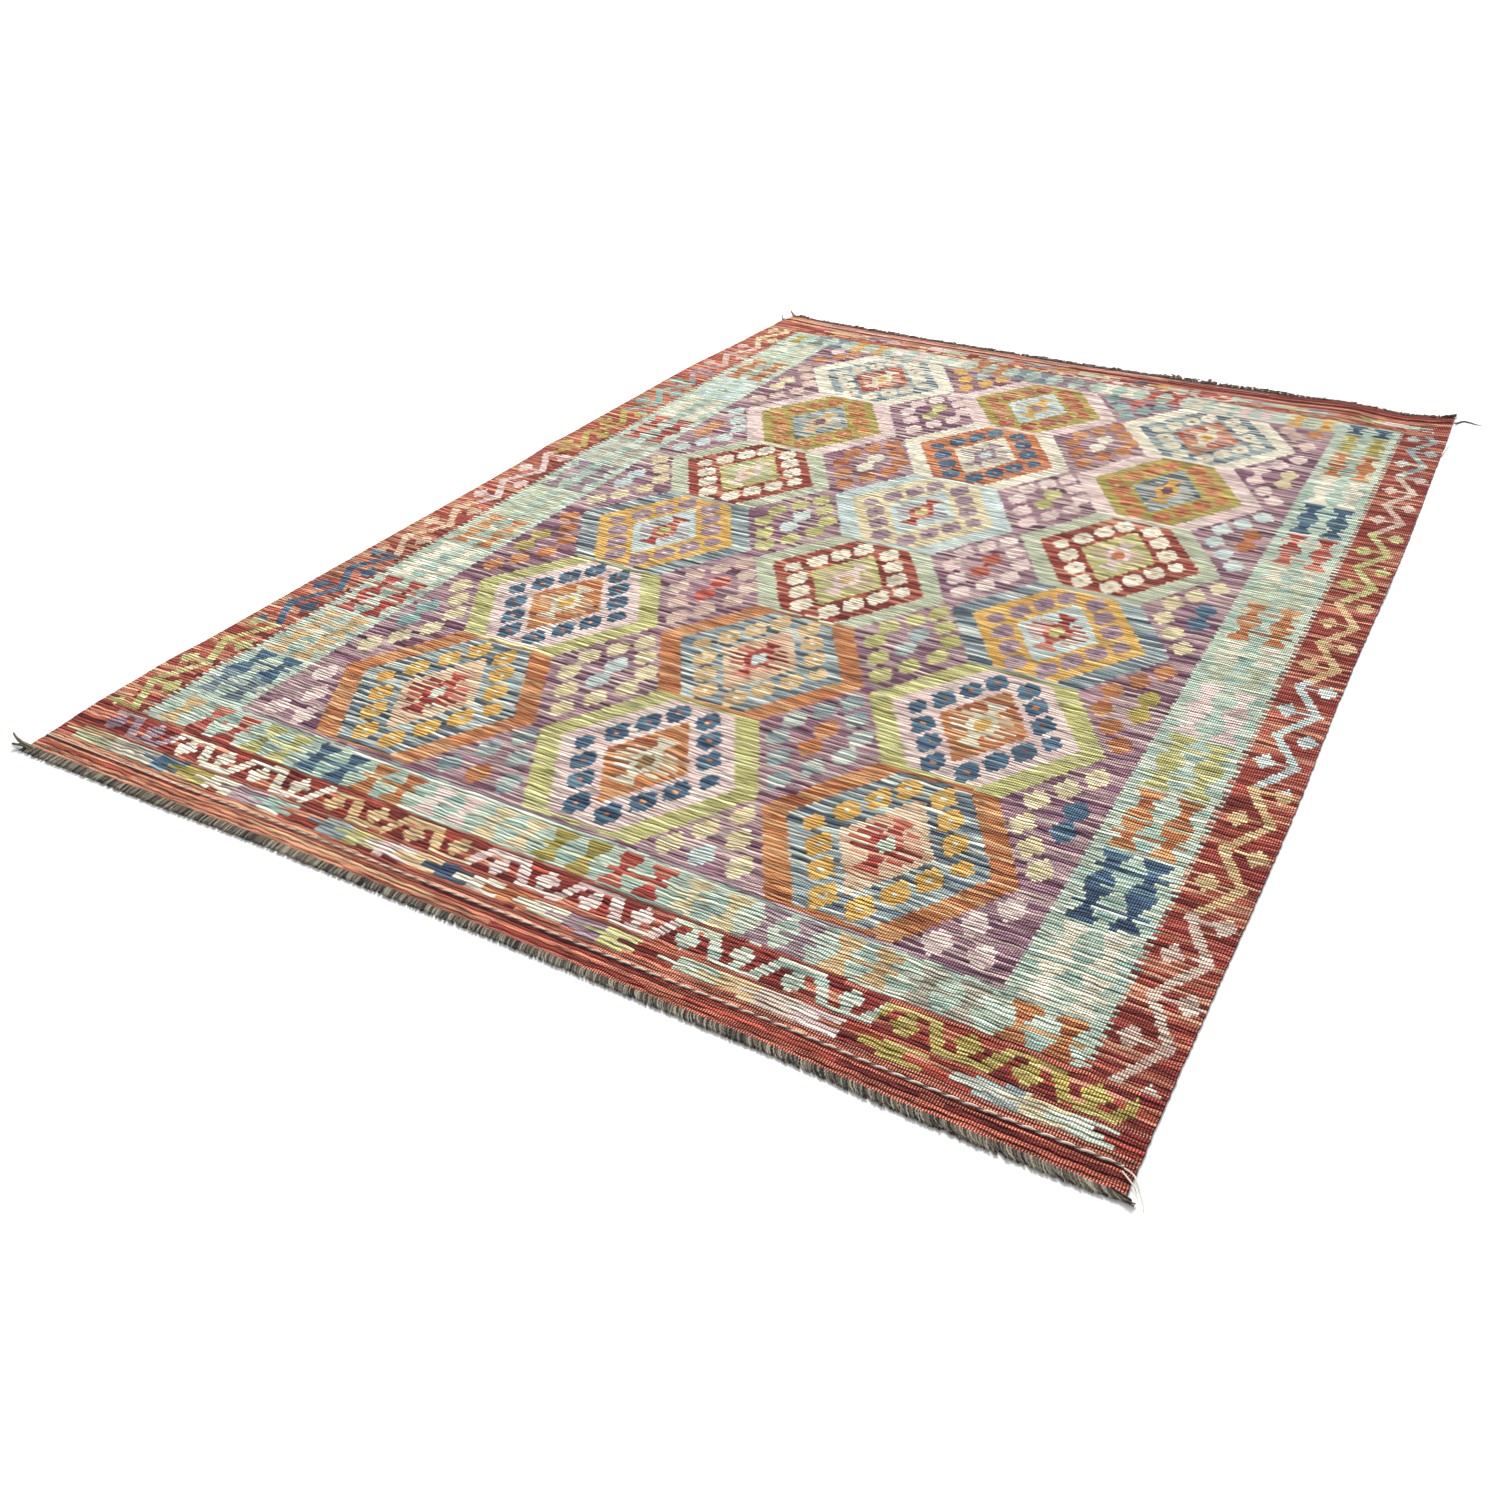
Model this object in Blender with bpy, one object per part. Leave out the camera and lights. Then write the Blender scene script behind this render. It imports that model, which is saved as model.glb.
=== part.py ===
"""A hand-woven wool kilim rug lying on the floor, with its warp fringes and twined end cords.

Sizes are in metres and +Z is up. The origin is on the floor under the middle of the rug. +X runs
across the rug, as its weft yarns do, and +Y runs along it with the warp yarns, so the near end of
the rug is at -Y. The cloth is one flat sheet with the uneven outline and the soft ripples of a
rug that has been rolled, and each fringe is one comb of strands on the last knotted row.
"""

from collections import namedtuple
import math
import random

import bmesh
import bpy
from mathutils import Matrix, Vector
from mathutils.bvhtree import BVHTree

# The cloth: its size between the corners, the cells that its outline and ripples need and how
# much these crowd towards the ends, and the gap that parts one piece from the next
WIDTH = 2.05
LENGTH = 2.95
THICKNESS = 0.003
CELLS_ACROSS = 36
CELLS_ALONG = 44
CROWDING = 0.45
GAP = 0.0003

# How far in from an edge the edge's own bow is felt, as a share of the width or the length
SIDE_REACH = 0.15
END_REACH = 0.085

# How far the woven edge stands outside the straight line between its corners: the share of the
# way along the edge, and the distance. The wefts pull the far end in between its two ears.
EdgeRow = namedtuple("EdgeRow", "share out")
LEFT_SIDE = [
    EdgeRow(0.00, 0.002),
    EdgeRow(0.07, 0.018),
    EdgeRow(0.37, 0.024),
    EdgeRow(0.68, 0.035),
    EdgeRow(0.78, 0.036),
    EdgeRow(0.92, 0.017),
    EdgeRow(1.00, 0.000),
]
RIGHT_SIDE = [
    EdgeRow(0.00, 0.000),
    EdgeRow(0.31, 0.010),
    EdgeRow(0.44, 0.007),
    EdgeRow(0.68, 0.012),
    EdgeRow(0.92, 0.006),
    EdgeRow(1.00, 0.002),
]
NEAR_END = [
    EdgeRow(0.00, -0.002),
    EdgeRow(0.15, -0.003),
    EdgeRow(0.30, -0.007),
    EdgeRow(0.50, -0.005),
    EdgeRow(0.73, -0.001),
    EdgeRow(0.88, 0.007),
    EdgeRow(1.00, 0.008),
]
FAR_END = [
    EdgeRow(0.00, 0.000),
    EdgeRow(0.06, -0.022),
    EdgeRow(0.20, -0.030),
    EdgeRow(0.34, -0.037),
    EdgeRow(0.48, -0.047),
    EdgeRow(0.64, -0.040),
    EdgeRow(0.78, -0.030),
    EdgeRow(0.92, -0.040),
    EdgeRow(0.97, -0.022),
    EdgeRow(1.00, -0.002),
]

# Soft ripples that lift the cloth off the floor: the middle of each, half its length and width,
# the turn of its long side from +X, and its height. Everywhere else the cloth lies on the floor.
Ripple = namedtuple("Ripple", "x y half_long half_wide turn height")
RIPPLES = [
    Ripple(0.960, 1.410, 0.170, 0.110, 48, 0.010),
    Ripple(-0.990, 1.430, 0.150, 0.110, 120, 0.009),
    Ripple(-0.930, -1.120, 0.230, 0.110, 12, 0.006),
    Ripple(-0.960, 0.150, 0.260, 0.120, -6, 0.005),
    Ripple(-0.090, -1.090, 0.300, 0.110, -8, 0.005),
    Ripple(0.900, 0.300, 0.260, 0.120, 5, 0.005),
    Ripple(0.250, 0.780, 0.420, 0.130, 4, 0.004),
    Ripple(-0.420, 1.230, 0.330, 0.120, -5, 0.005),
]

# The fringe: cut warp ends, drawn as a comb of locks on the last knotted row
LOCKS_PER_CELL = 4
STRIP_DEPTH = 0.004
STRIP_HEIGHT = 0.0026
LOCK_ROOT_SHARE = 0.62
LOCK_TIP_WIDTH = 0.0062
LOCK_TIP_HEIGHT = 0.0014
LOCK_SLANT_JITTER = 0.0022
LOCK_LENGTH_JITTER = 0.0025

# How long the locks are and how far their tips drift to +X, along each end
LockRow = namedtuple("LockRow", "share length drift")
NEAR_LOCKS = [
    LockRow(0.00, 0.022, 0.002),
    LockRow(0.15, 0.019, 0.002),
    LockRow(0.34, 0.018, 0.003),
    LockRow(0.50, 0.018, 0.004),
    LockRow(0.72, 0.018, 0.005),
    LockRow(0.95, 0.019, 0.006),
    LockRow(1.00, 0.017, 0.006),
]
FAR_LOCKS = [
    LockRow(0.00, 0.018, -0.002),
    LockRow(0.08, 0.020, -0.002),
    LockRow(0.11, 0.030, -0.003),
    LockRow(0.16, 0.020, -0.002),
    LockRow(0.32, 0.036, -0.003),
    LockRow(0.43, 0.026, -0.002),
    LockRow(0.50, 0.037, -0.003),
    LockRow(0.58, 0.025, -0.002),
    LockRow(0.69, 0.037, -0.003),
    LockRow(0.78, 0.028, -0.002),
    LockRow(0.88, 0.045, -0.003),
    LockRow(0.92, 0.022, -0.002),
    LockRow(1.00, 0.021, 0.001),
]

# Twists of warp ends that stick out of the corners: the tip of each from its corner of the rug
Tuft = namedtuple("Tuft", "x y width")
NEAR_LEFT_TUFTS = [Tuft(-0.048, 0.008, 0.0045), Tuft(-0.024, -0.013, 0.0040)]
NEAR_RIGHT_TUFTS = [Tuft(0.008, -0.010, 0.0045)]
FAR_LEFT_TUFTS = [Tuft(-0.020, 0.036, 0.0045)]
FAR_RIGHT_TUFTS = [Tuft(0.006, 0.012, 0.0045)]

# The twined cords: two thick yarns twined over the warps just inside each end, then left loose
TWINE_INSET = 0.041
TWINE_FAR_INSET = 0.047
TWINE_HALF_WIDTH = 0.0024
TWINE_HALF_HEIGHT = 0.0011
TWINE_CELLS = 72
YARN_HALF_WIDTH = 0.0013
YARN_HALF_HEIGHT = 0.0010
YARN_SIDES = 6
YARN_STEPS = 3

# Loose yarn ends: the points that each passes, and what it lies on there
YarnPoint = namedtuple("YarnPoint", "x y on")
Ring = namedtuple("Ring", "centre half_width half_height")
NEAR_TWINE_END = [
    YarnPoint(1.010, -1.445, "cloth"),
    YarnPoint(1.018, -1.447, "cloth"),
    YarnPoint(1.025, -1.451, "cloth"),
    YarnPoint(1.030, -1.458, "cloth"),
    YarnPoint(1.038, -1.470, "floor"),
    YarnPoint(1.045, -1.483, "floor"),
    YarnPoint(1.049, -1.494, "floor"),
]
NEAR_SECOND_YARN = [
    YarnPoint(1.009, -1.4505, "cloth"),
    YarnPoint(1.015, -1.455, "cloth"),
    YarnPoint(1.022, -1.4605, "cloth"),
    YarnPoint(1.0285, -1.466, "cloth"),
    YarnPoint(1.034, -1.472, "floor"),
    YarnPoint(1.037, -1.479, "floor"),
]
FAR_TWINE_LEFT_END = [
    YarnPoint(-1.052, 1.462, "floor"),
    YarnPoint(-1.050, 1.449, "floor"),
    YarnPoint(-1.036, 1.430, "floor"),
    YarnPoint(-1.028, 1.424, "cloth"),
]
FAR_TWINE_RIGHT_END = [
    YarnPoint(1.031, 1.426, "cloth"),
    YarnPoint(1.038, 1.440, "floor"),
    YarnPoint(1.050, 1.459, "floor"),
    YarnPoint(1.068, 1.457, "floor"),
    YarnPoint(1.083, 1.450, "floor"),
    YarnPoint(1.098, 1.448, "floor"),
]
SIDE_YARN = [
    YarnPoint(1.0328, 1.176, "floor"),
    YarnPoint(1.0365, 1.225, "floor"),
    YarnPoint(1.0395, 1.262, "floor"),
    YarnPoint(1.0470, 1.292, "floor"),
]

# Colours of the yarns: red, green and blue, then roughness
CLOTH_COLOUR = (0.42, 0.30, 0.24)
FRINGE_COLOUR = (0.16, 0.15, 0.12)
PALE_TWINE_COLOUR = (0.55, 0.52, 0.44)
DARK_TWINE_COLOUR = (0.10, 0.07, 0.06)
WOOL_ROUGHNESS = 0.9


def between(rows, share, column):
    """The named column of a table at a share of the way along it, eased from row to row."""
    for low, high in zip(rows, rows[1:]):
        if share <= high.share:
            step = (share - low.share) / (high.share - low.share)
            eased = step * step * (3 - 2 * step)
            return getattr(low, column) + (getattr(high, column) - getattr(low, column)) * eased
    return getattr(rows[-1], column)


def place(across, along):
    """Where a point of the cloth lies: shares of its width and length to x and y."""
    left = max(0.0, 1 - across / SIDE_REACH)
    right = max(0.0, 1 - (1 - across) / SIDE_REACH)
    near = max(0.0, 1 - along / END_REACH)
    far = max(0.0, 1 - (1 - along) / END_REACH)
    x = (across - 0.5) * WIDTH
    x += right * between(RIGHT_SIDE, along, "out") - left * between(LEFT_SIDE, along, "out")
    y = (along - 0.5) * LENGTH
    y += far * between(FAR_END, across, "out") - near * between(NEAR_END, across, "out")
    return x, y


def lift(x, y):
    """How high the underside of the cloth stands off the floor."""
    height = 0.0
    for ripple in RIPPLES:
        turn = math.radians(ripple.turn)
        east, north = x - ripple.x, y - ripple.y
        along = (east * math.cos(turn) + north * math.sin(turn)) / ripple.half_long
        aside = (north * math.cos(turn) - east * math.sin(turn)) / ripple.half_wide
        if abs(along) < 1 and abs(aside) < 1:
            crest = math.cos(math.pi / 2 * along) * math.cos(math.pi / 2 * aside)
            height += ripple.height * crest * crest
    return height


def closer_at_ends(share):
    """Draw rows of cells closer together towards both ends of the rug."""
    return share - CROWDING * math.sin(2 * math.pi * share) / (2 * math.pi)


def yarn_material(name, colour):
    """Dull dyed wool."""
    material = bpy.data.materials.new(name)
    material.use_nodes = True
    shader = material.node_tree.nodes["Principled BSDF"]
    shader.inputs["Base Color"].default_value = (*colour, 1.0)
    shader.inputs["Roughness"].default_value = WOOL_ROUGHNESS
    shader.inputs["Metallic"].default_value = 0.0
    return material


def add_object(name, bm, material):
    """Turn a finished bmesh into a named object with its faces pointing out."""
    bmesh.ops.recalc_face_normals(bm, faces=bm.faces[:])
    mesh = bpy.data.meshes.new(name)
    bm.to_mesh(mesh)
    bm.free()
    mesh.materials.append(material)
    obj = bpy.data.objects.new(name, mesh)
    bpy.context.scene.collection.objects.link(obj)
    return obj


def make_cloth():
    """The woven sheet: one grid laid on its ripples, then given its thickness."""
    bm = bmesh.new()
    bmesh.ops.create_grid(bm, x_segments=CELLS_ACROSS, y_segments=CELLS_ALONG, size=0.5)
    for vert in bm.verts:
        x, y = place(vert.co.x + 0.5, closer_at_ends(vert.co.y + 0.5))
        vert.co = (x, y, lift(x, y))
    bmesh.ops.triangulate(bm, faces=bm.faces[:])
    grown = bmesh.ops.extrude_face_region(bm, geom=bm.faces[:])["geom"]
    upper = [item for item in grown if isinstance(item, bmesh.types.BMVert)]
    bmesh.ops.translate(bm, verts=upper, vec=(0, 0, THICKNESS))
    return add_object("kilim_cloth", bm, yarn_material("kilim_weave", CLOTH_COLOUR))


def end_line(along):
    """The woven edge at one end, straight from one grid column of the cloth to the next."""
    columns = [Vector(place(column / CELLS_ACROSS, along)) for column in range(CELLS_ACROSS + 1)]

    def point(across):
        column = min(int(across * CELLS_ACROSS), CELLS_ACROSS - 1)
        return columns[column].lerp(columns[column + 1], across * CELLS_ACROSS - column)

    return point


def make_fringe(name, along, locks, first_tufts, last_tufts, seed):
    """One end's fringe: a narrow knotted strip, its locks, and the tufts at its two corners."""
    rng = random.Random(seed)
    outward = 1 if along else -1
    edge = end_line(along)
    count = CELLS_ACROSS * LOCKS_PER_CELL
    bm = bmesh.new()
    height = bm.verts.layers.float.new("height")

    def vertex(x, y, z, tall):
        vert = bm.verts.new((x, y, z))
        vert[height] = tall
        return vert

    def strip_vertex(across, depth):
        x, y = edge(across)
        return vertex(x, y + outward * (GAP + depth), lift(x, y), STRIP_HEIGHT)

    def tip_pair(root_mid, reach_x, reach_y, width):
        heading = Vector((reach_x, reach_y)).normalized()
        aside = Vector((-heading.y, heading.x)) * width / 2
        tip = Vector((root_mid.x + reach_x, root_mid.y + reach_y))
        return [vertex(*(tip - aside), 0.0, LOCK_TIP_HEIGHT), vertex(*(tip + aside), 0.0, LOCK_TIP_HEIGHT)]

    def fan(root_a, root_b, reach_x, reach_y, width):
        """A lock from two root vertices to a tip, whose corners keep the order of the roots."""
        tips = tip_pair((root_a.co + root_b.co) / 2, reach_x, reach_y, width)
        if (root_b.co.xy - root_a.co.xy).dot(tips[1].co.xy - tips[0].co.xy) < 0:
            tips.reverse()
        bm.faces.new([root_a, root_b, tips[1], tips[0]])

    inner = [strip_vertex(step / count, 0.0) for step in range(count + 1)]
    roots = []
    margin = (1 - LOCK_ROOT_SHARE) / 2
    for step in range(count):
        left = strip_vertex((step + margin) / count, STRIP_DEPTH)
        right = strip_vertex((step + 1 - margin) / count, STRIP_DEPTH)
        roots.append((left, right))
        share = (step + 0.5) / count
        length = between(locks, share, "length") + rng.uniform(-1, 1) * LOCK_LENGTH_JITTER
        drift = between(locks, share, "drift") + rng.uniform(-1, 1) * LOCK_SLANT_JITTER
        fan(left, right, drift, outward * (length - STRIP_DEPTH), LOCK_TIP_WIDTH)

    def corner_cell(corner, root, other_root, other_corner, tufts):
        """The last cell of the strip, whose end face carries the corner's tufts."""
        bounds = [corner.co.lerp(root.co, step / len(tufts)) for step in range(1, len(tufts))]
        chain = [corner, *[vertex(*spot, STRIP_HEIGHT) for spot in bounds], root]
        for start, stop, tuft in zip(chain, chain[1:], tufts):
            middle = (start.co + stop.co) / 2
            tip_x, tip_y = corner.co.x + tuft.x, corner.co.y + tuft.y
            fan(start, stop, tip_x - middle.x, tip_y - middle.y, tuft.width)
        bm.faces.new([*chain, other_root, other_corner])

    corner_cell(inner[0], roots[0][0], roots[0][1], inner[1], first_tufts)
    corner_cell(inner[-1], roots[-1][1], roots[-1][0], inner[-2], last_tufts)
    for step in range(1, count - 1):
        bm.faces.new([inner[step], inner[step + 1], roots[step][1], roots[step][0]])
    for step in range(1, count):
        bm.faces.new([inner[step], roots[step][0], roots[step - 1][1]])

    bmesh.ops.recalc_face_normals(bm, faces=bm.faces[:])
    grown = bmesh.ops.extrude_face_region(bm, geom=bm.faces[:])["geom"]
    for item in grown:
        if isinstance(item, bmesh.types.BMVert):
            item.co.z += item[height]
    bmesh.ops.triangulate(bm, faces=bm.faces[:])
    return add_object(name, bm, yarn_material(name + "_wool", FRINGE_COLOUR))


def smooth_route(points, lowest):
    """Points on a smooth curve that passes through every given point and stays off the floor."""
    route = []
    ends = [points[0] * 2 - points[1], *points, points[-1] * 2 - points[-2]]
    for before, start, stop, after in zip(ends, ends[1:], ends[2:], ends[3:]):
        for step in range(YARN_STEPS):
            t = step / YARN_STEPS
            linear = (stop - before) * t
            square = (2 * before - 5 * start + 4 * stop - after) * t ** 2
            cube = (3 * start - before - 3 * stop + after) * t ** 3
            point = start + (linear + square + cube) / 2
            point.z = max(point.z, lowest)
            route.append(point)
    return [*route, points[-1]]


def ring_frame(ring, heading):
    """The frame of an upright ring across a cord, with its half sizes in it."""
    aside = Vector((-heading.y, heading.x, 0)).normalized()
    forward = Vector((heading.x, heading.y, 0)).normalized()
    columns = [aside * ring.half_width, Vector((0, 0, ring.half_height)), forward, ring.centre]
    return Matrix([[column[row] for column in columns] for row in range(3)] + [[0, 0, 0, 1]])


def make_yarn(name, rings, material):
    """A yarn or cord: a flattened ring, extruded along its route and closed at both ends."""
    befores, afters = [rings[0], *rings], [*rings[1:], rings[-1]]
    frames = [
        ring_frame(ring, after.centre - before.centre)
        for before, ring, after in zip(befores, rings, afters)
    ]
    bm = bmesh.new()
    turned = Matrix.Rotation(math.pi / YARN_SIDES, 4, "Z")
    bmesh.ops.create_circle(
        bm, cap_ends=True, segments=YARN_SIDES, radius=1.0, matrix=frames[0] @ turned
    )
    rim = bm.edges[:]
    for before, after in zip(frames, frames[1:]):
        grown = bmesh.ops.extrude_edge_only(bm, edges=rim)["geom"]
        corners = {item for item in grown if isinstance(item, bmesh.types.BMVert)}
        edges = [item for item in grown if isinstance(item, bmesh.types.BMEdge)]
        rim = [edge for edge in edges if corners.issuperset(edge.verts)]
        bmesh.ops.transform(bm, matrix=after @ before.inverted(), verts=list(corners))
    bmesh.ops.edgeloop_fill(bm, edges=rim)
    bmesh.ops.triangulate(bm, faces=bm.faces[:])
    return add_object(name, bm, material)


for old in list(bpy.data.objects):
    bpy.data.objects.remove(old, do_unlink=True)

cloth = make_cloth()
cloth_tree = BVHTree.FromPolygons(
    [vert.co.copy() for vert in cloth.data.vertices],
    [list(face.vertices) for face in cloth.data.polygons],
)


def top_of_cloth(x, y, reach=YARN_HALF_WIDTH):
    """The highest point of the cloth's upper face within a short reach of a place on it."""
    limit = WIDTH / 2 - reach
    highest = THICKNESS
    for east in (-reach, 0.0, reach):
        for north in (-TWINE_HALF_WIDTH, 0.0, TWINE_HALF_WIDTH):
            spot = Vector((max(-limit, min(limit, x)) + east, y + north, 1.0))
            hit = cloth_tree.ray_cast(spot, Vector((0, 0, -1)))[0]
            highest = max(highest, hit.z if hit else THICKNESS)
    return highest


def loose_rings(rows):
    """The rings of a loose yarn: on the cloth, over its edge, then on the floor."""
    points = []
    for row in rows:
        ground = 0.0 if row.on == "floor" else top_of_cloth(row.x, row.y) + GAP
        points.append(Vector((row.x, row.y, ground + YARN_HALF_HEIGHT)))
    route = smooth_route(points, YARN_HALF_HEIGHT)
    return [Ring(point, YARN_HALF_WIDTH, YARN_HALF_HEIGHT) for point in route]


def twine_rings(along, last_x):
    """The rings of a twined cord that lies across the rug, up to its last place on the cloth."""
    rings = []
    for step in range(TWINE_CELLS + 1):
        x, y = place(step / TWINE_CELLS, along)
        if x < last_x:
            middle = top_of_cloth(x, y, WIDTH / TWINE_CELLS / 2) + GAP + TWINE_HALF_HEIGHT
            rings.append(Ring(Vector((x, y, middle)), TWINE_HALF_WIDTH, TWINE_HALF_HEIGHT))
    return rings


make_fringe("fringe_near", 0.0, NEAR_LOCKS, NEAR_LEFT_TUFTS, NEAR_RIGHT_TUFTS, seed=11)
make_fringe("fringe_far", 1.0, FAR_LOCKS, FAR_LEFT_TUFTS, FAR_RIGHT_TUFTS, seed=23)

pale_yarn = yarn_material("pale_yarn", PALE_TWINE_COLOUR)
dark_yarn = yarn_material("dark_yarn", DARK_TWINE_COLOUR)
near_line = twine_rings(TWINE_INSET / LENGTH, NEAR_TWINE_END[0].x - YARN_HALF_WIDTH)
far_line = twine_rings(1 - TWINE_FAR_INSET / LENGTH, FAR_TWINE_RIGHT_END[0].x - YARN_HALF_WIDTH)
make_yarn("twine_near", [*near_line, *loose_rings(NEAR_TWINE_END)], pale_yarn)
make_yarn(
    "twine_far",
    [*loose_rings(FAR_TWINE_LEFT_END), *far_line, *loose_rings(FAR_TWINE_RIGHT_END)],
    dark_yarn,
)
make_yarn("yarn_end_near", loose_rings(NEAR_SECOND_YARN), pale_yarn)
make_yarn("yarn_end_side", loose_rings(SIDE_YARN), pale_yarn)
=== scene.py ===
from collections import namedtuple
import math

import bmesh
import bpy
from mathutils import Matrix, Vector
import numpy as np


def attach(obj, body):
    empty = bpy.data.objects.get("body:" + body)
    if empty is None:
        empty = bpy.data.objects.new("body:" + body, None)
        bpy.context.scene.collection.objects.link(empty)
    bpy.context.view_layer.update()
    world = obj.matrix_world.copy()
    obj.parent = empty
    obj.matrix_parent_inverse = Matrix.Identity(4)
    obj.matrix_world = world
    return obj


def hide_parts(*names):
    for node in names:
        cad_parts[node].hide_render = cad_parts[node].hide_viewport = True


# A hand-woven wool kilim rug that lies on a pale studio floor. It is built as it is made: the
# cloth with its woven pattern first, then the wool of the yarns, the two fringes of cut warps, and
# the twined cords with their loose ends. Sizes are in metres; the pattern's chart is in
# millimetres from the rug's near left corner, as on a loom.

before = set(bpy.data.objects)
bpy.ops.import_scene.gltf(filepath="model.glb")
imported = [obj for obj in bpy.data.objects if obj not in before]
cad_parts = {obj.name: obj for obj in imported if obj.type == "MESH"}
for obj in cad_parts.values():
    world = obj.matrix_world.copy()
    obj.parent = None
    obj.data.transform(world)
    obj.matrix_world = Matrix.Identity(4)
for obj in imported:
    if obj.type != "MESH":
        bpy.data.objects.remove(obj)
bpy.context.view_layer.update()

# ---- Camera -------------------------------------------------------------------------------
# The photograph was taken standing at the rug's near right, looking down along it with a
# slightly wide lens.

CAMERA_PLACE = Vector((1.1943, -2.6592, 1.4011))
CAMERA_AIM = Vector((0.1402, -0.8528, 0.0))
CAMERA_ROLL = math.radians(-0.996)
CAMERA_LENS = 33.55


def put_in_scene(name, data):
    """A new object on the given data, in the scene."""
    thing = bpy.data.objects.new(name, data)
    bpy.context.scene.collection.objects.link(thing)
    return thing


camera_data = bpy.data.cameras.new("photo_camera")
camera_data.sensor_width = 36.0
camera_data.lens = CAMERA_LENS
camera = put_in_scene("photo_camera", camera_data)
bpy.context.scene.camera = camera
facing = (CAMERA_AIM - CAMERA_PLACE).to_track_quat("-Z", "Y").to_matrix()
camera.location = CAMERA_PLACE
camera.rotation_euler = (facing @ Matrix.Rotation(CAMERA_ROLL, 3, "Z")).to_euler()

# ---- The cloth: its outline and ripples ---------------------------------------------------
# One wool flatweave, 2.05 m wide and 2.95 m long, woven in one piece with its own selvedges.
# It lies flat, with the bowed edges and the low ripples that a rug keeps from being rolled.

WIDTH = 2.05
LENGTH = 2.95
THICKNESS = 0.003
SIDE_REACH = 0.15
END_REACH = 0.085

# How far the woven edge stands outside the straight line between its corners, in metres
EdgeRow = namedtuple("EdgeRow", "share out")
LEFT_SIDE = [
    EdgeRow(0.00, 0.002),
    EdgeRow(0.07, 0.018),
    EdgeRow(0.37, 0.024),
    EdgeRow(0.68, 0.035),
    EdgeRow(0.78, 0.036),
    EdgeRow(0.92, 0.017),
    EdgeRow(0.97, 0.008),
    EdgeRow(1.00, -0.008),
]
RIGHT_SIDE = [
    EdgeRow(0.00, 0.000),
    EdgeRow(0.31, 0.010),
    EdgeRow(0.44, 0.007),
    EdgeRow(0.68, 0.012),
    EdgeRow(0.92, 0.006),
    EdgeRow(1.00, 0.002),
]
NEAR_END = [
    EdgeRow(0.00, -0.002),
    EdgeRow(0.15, -0.003),
    EdgeRow(0.30, -0.007),
    EdgeRow(0.50, -0.005),
    EdgeRow(0.73, -0.001),
    EdgeRow(0.88, 0.007),
    EdgeRow(1.00, 0.008),
]
FAR_END = [
    EdgeRow(0.00, -0.003),
    EdgeRow(0.05, -0.014),
    EdgeRow(0.20, -0.030),
    EdgeRow(0.34, -0.037),
    EdgeRow(0.48, -0.047),
    EdgeRow(0.64, -0.040),
    EdgeRow(0.78, -0.030),
    EdgeRow(0.86, -0.014),
    EdgeRow(0.94, -0.039),
    EdgeRow(0.97, -0.026),
    EdgeRow(1.00, 0.000),
]

# Soft ripples: the middle, half length and half width, the turn from +X in degrees, the height
Ripple = namedtuple("Ripple", "x y half_long half_wide turn height")
RIPPLES = [
    Ripple(0.780, 1.400, 0.150, 0.110, 48, 0.003),
    Ripple(-0.990, 1.430, 0.150, 0.110, 120, 0.004),
    Ripple(-0.930, -1.120, 0.230, 0.110, 12, 0.006),
    Ripple(-0.960, 0.150, 0.260, 0.120, -6, 0.005),
    Ripple(-0.090, -1.090, 0.300, 0.110, -8, 0.005),
    Ripple(0.900, 0.300, 0.260, 0.120, 5, 0.005),
    Ripple(0.250, 0.780, 0.420, 0.130, 4, 0.004),
    Ripple(-0.420, 1.230, 0.330, 0.120, -5, 0.005),
]


def eased(rows, share, column):
    """A table's column at shares of the way along it, eased from row to row."""
    shares = np.array([row.share for row in rows])
    values = np.array([getattr(row, column) for row in rows])
    low = np.clip(np.searchsorted(shares, share) - 1, 0, len(rows) - 2)
    step = np.clip((share - shares[low]) / (shares[low + 1] - shares[low]), 0, 1)
    return values[low] + (values[low + 1] - values[low]) * step * step * (3 - 2 * step)


def place(across, along):
    """Where points of the cloth lie: shares of its width and length to x and y."""
    across, along = np.asarray(across, float), np.asarray(along, float)
    left = np.clip(1 - across / SIDE_REACH, 0, None)
    right = np.clip(1 - (1 - across) / SIDE_REACH, 0, None)
    near = np.clip(1 - along / END_REACH, 0, None)
    far = np.clip(1 - (1 - along) / END_REACH, 0, None)
    x = (across - 0.5) * WIDTH
    x = x + right * eased(RIGHT_SIDE, along, "out") - left * eased(LEFT_SIDE, along, "out")
    y = (along - 0.5) * LENGTH
    y = y + far * eased(FAR_END, across, "out") - near * eased(NEAR_END, across, "out")
    return x, y


def lift(x, y):
    """How high the underside of the cloth stands off the floor."""
    height = np.zeros(np.broadcast(x, y).shape)
    for ripple in RIPPLES:
        turn = math.radians(ripple.turn)
        east, north = x - ripple.x, y - ripple.y
        along = (east * math.cos(turn) + north * math.sin(turn)) / ripple.half_long
        aside = (north * math.cos(turn) - east * math.sin(turn)) / ripple.half_wide
        along, aside = np.clip(along, -1, 1), np.clip(aside, -1, 1)
        height += ripple.height * (np.cos(math.pi / 2 * along) * np.cos(math.pi / 2 * aside)) ** 2
    return height


# ---- The dyes -----------------------------------------------------------------------------
# Hand-spun wool, dyed in small lots, so every colour is a family of tones that change from one
# streak of weft to the next. Each tone is red, green and blue as the eye sees it, 0 to 255; the
# most used one comes first.

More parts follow.
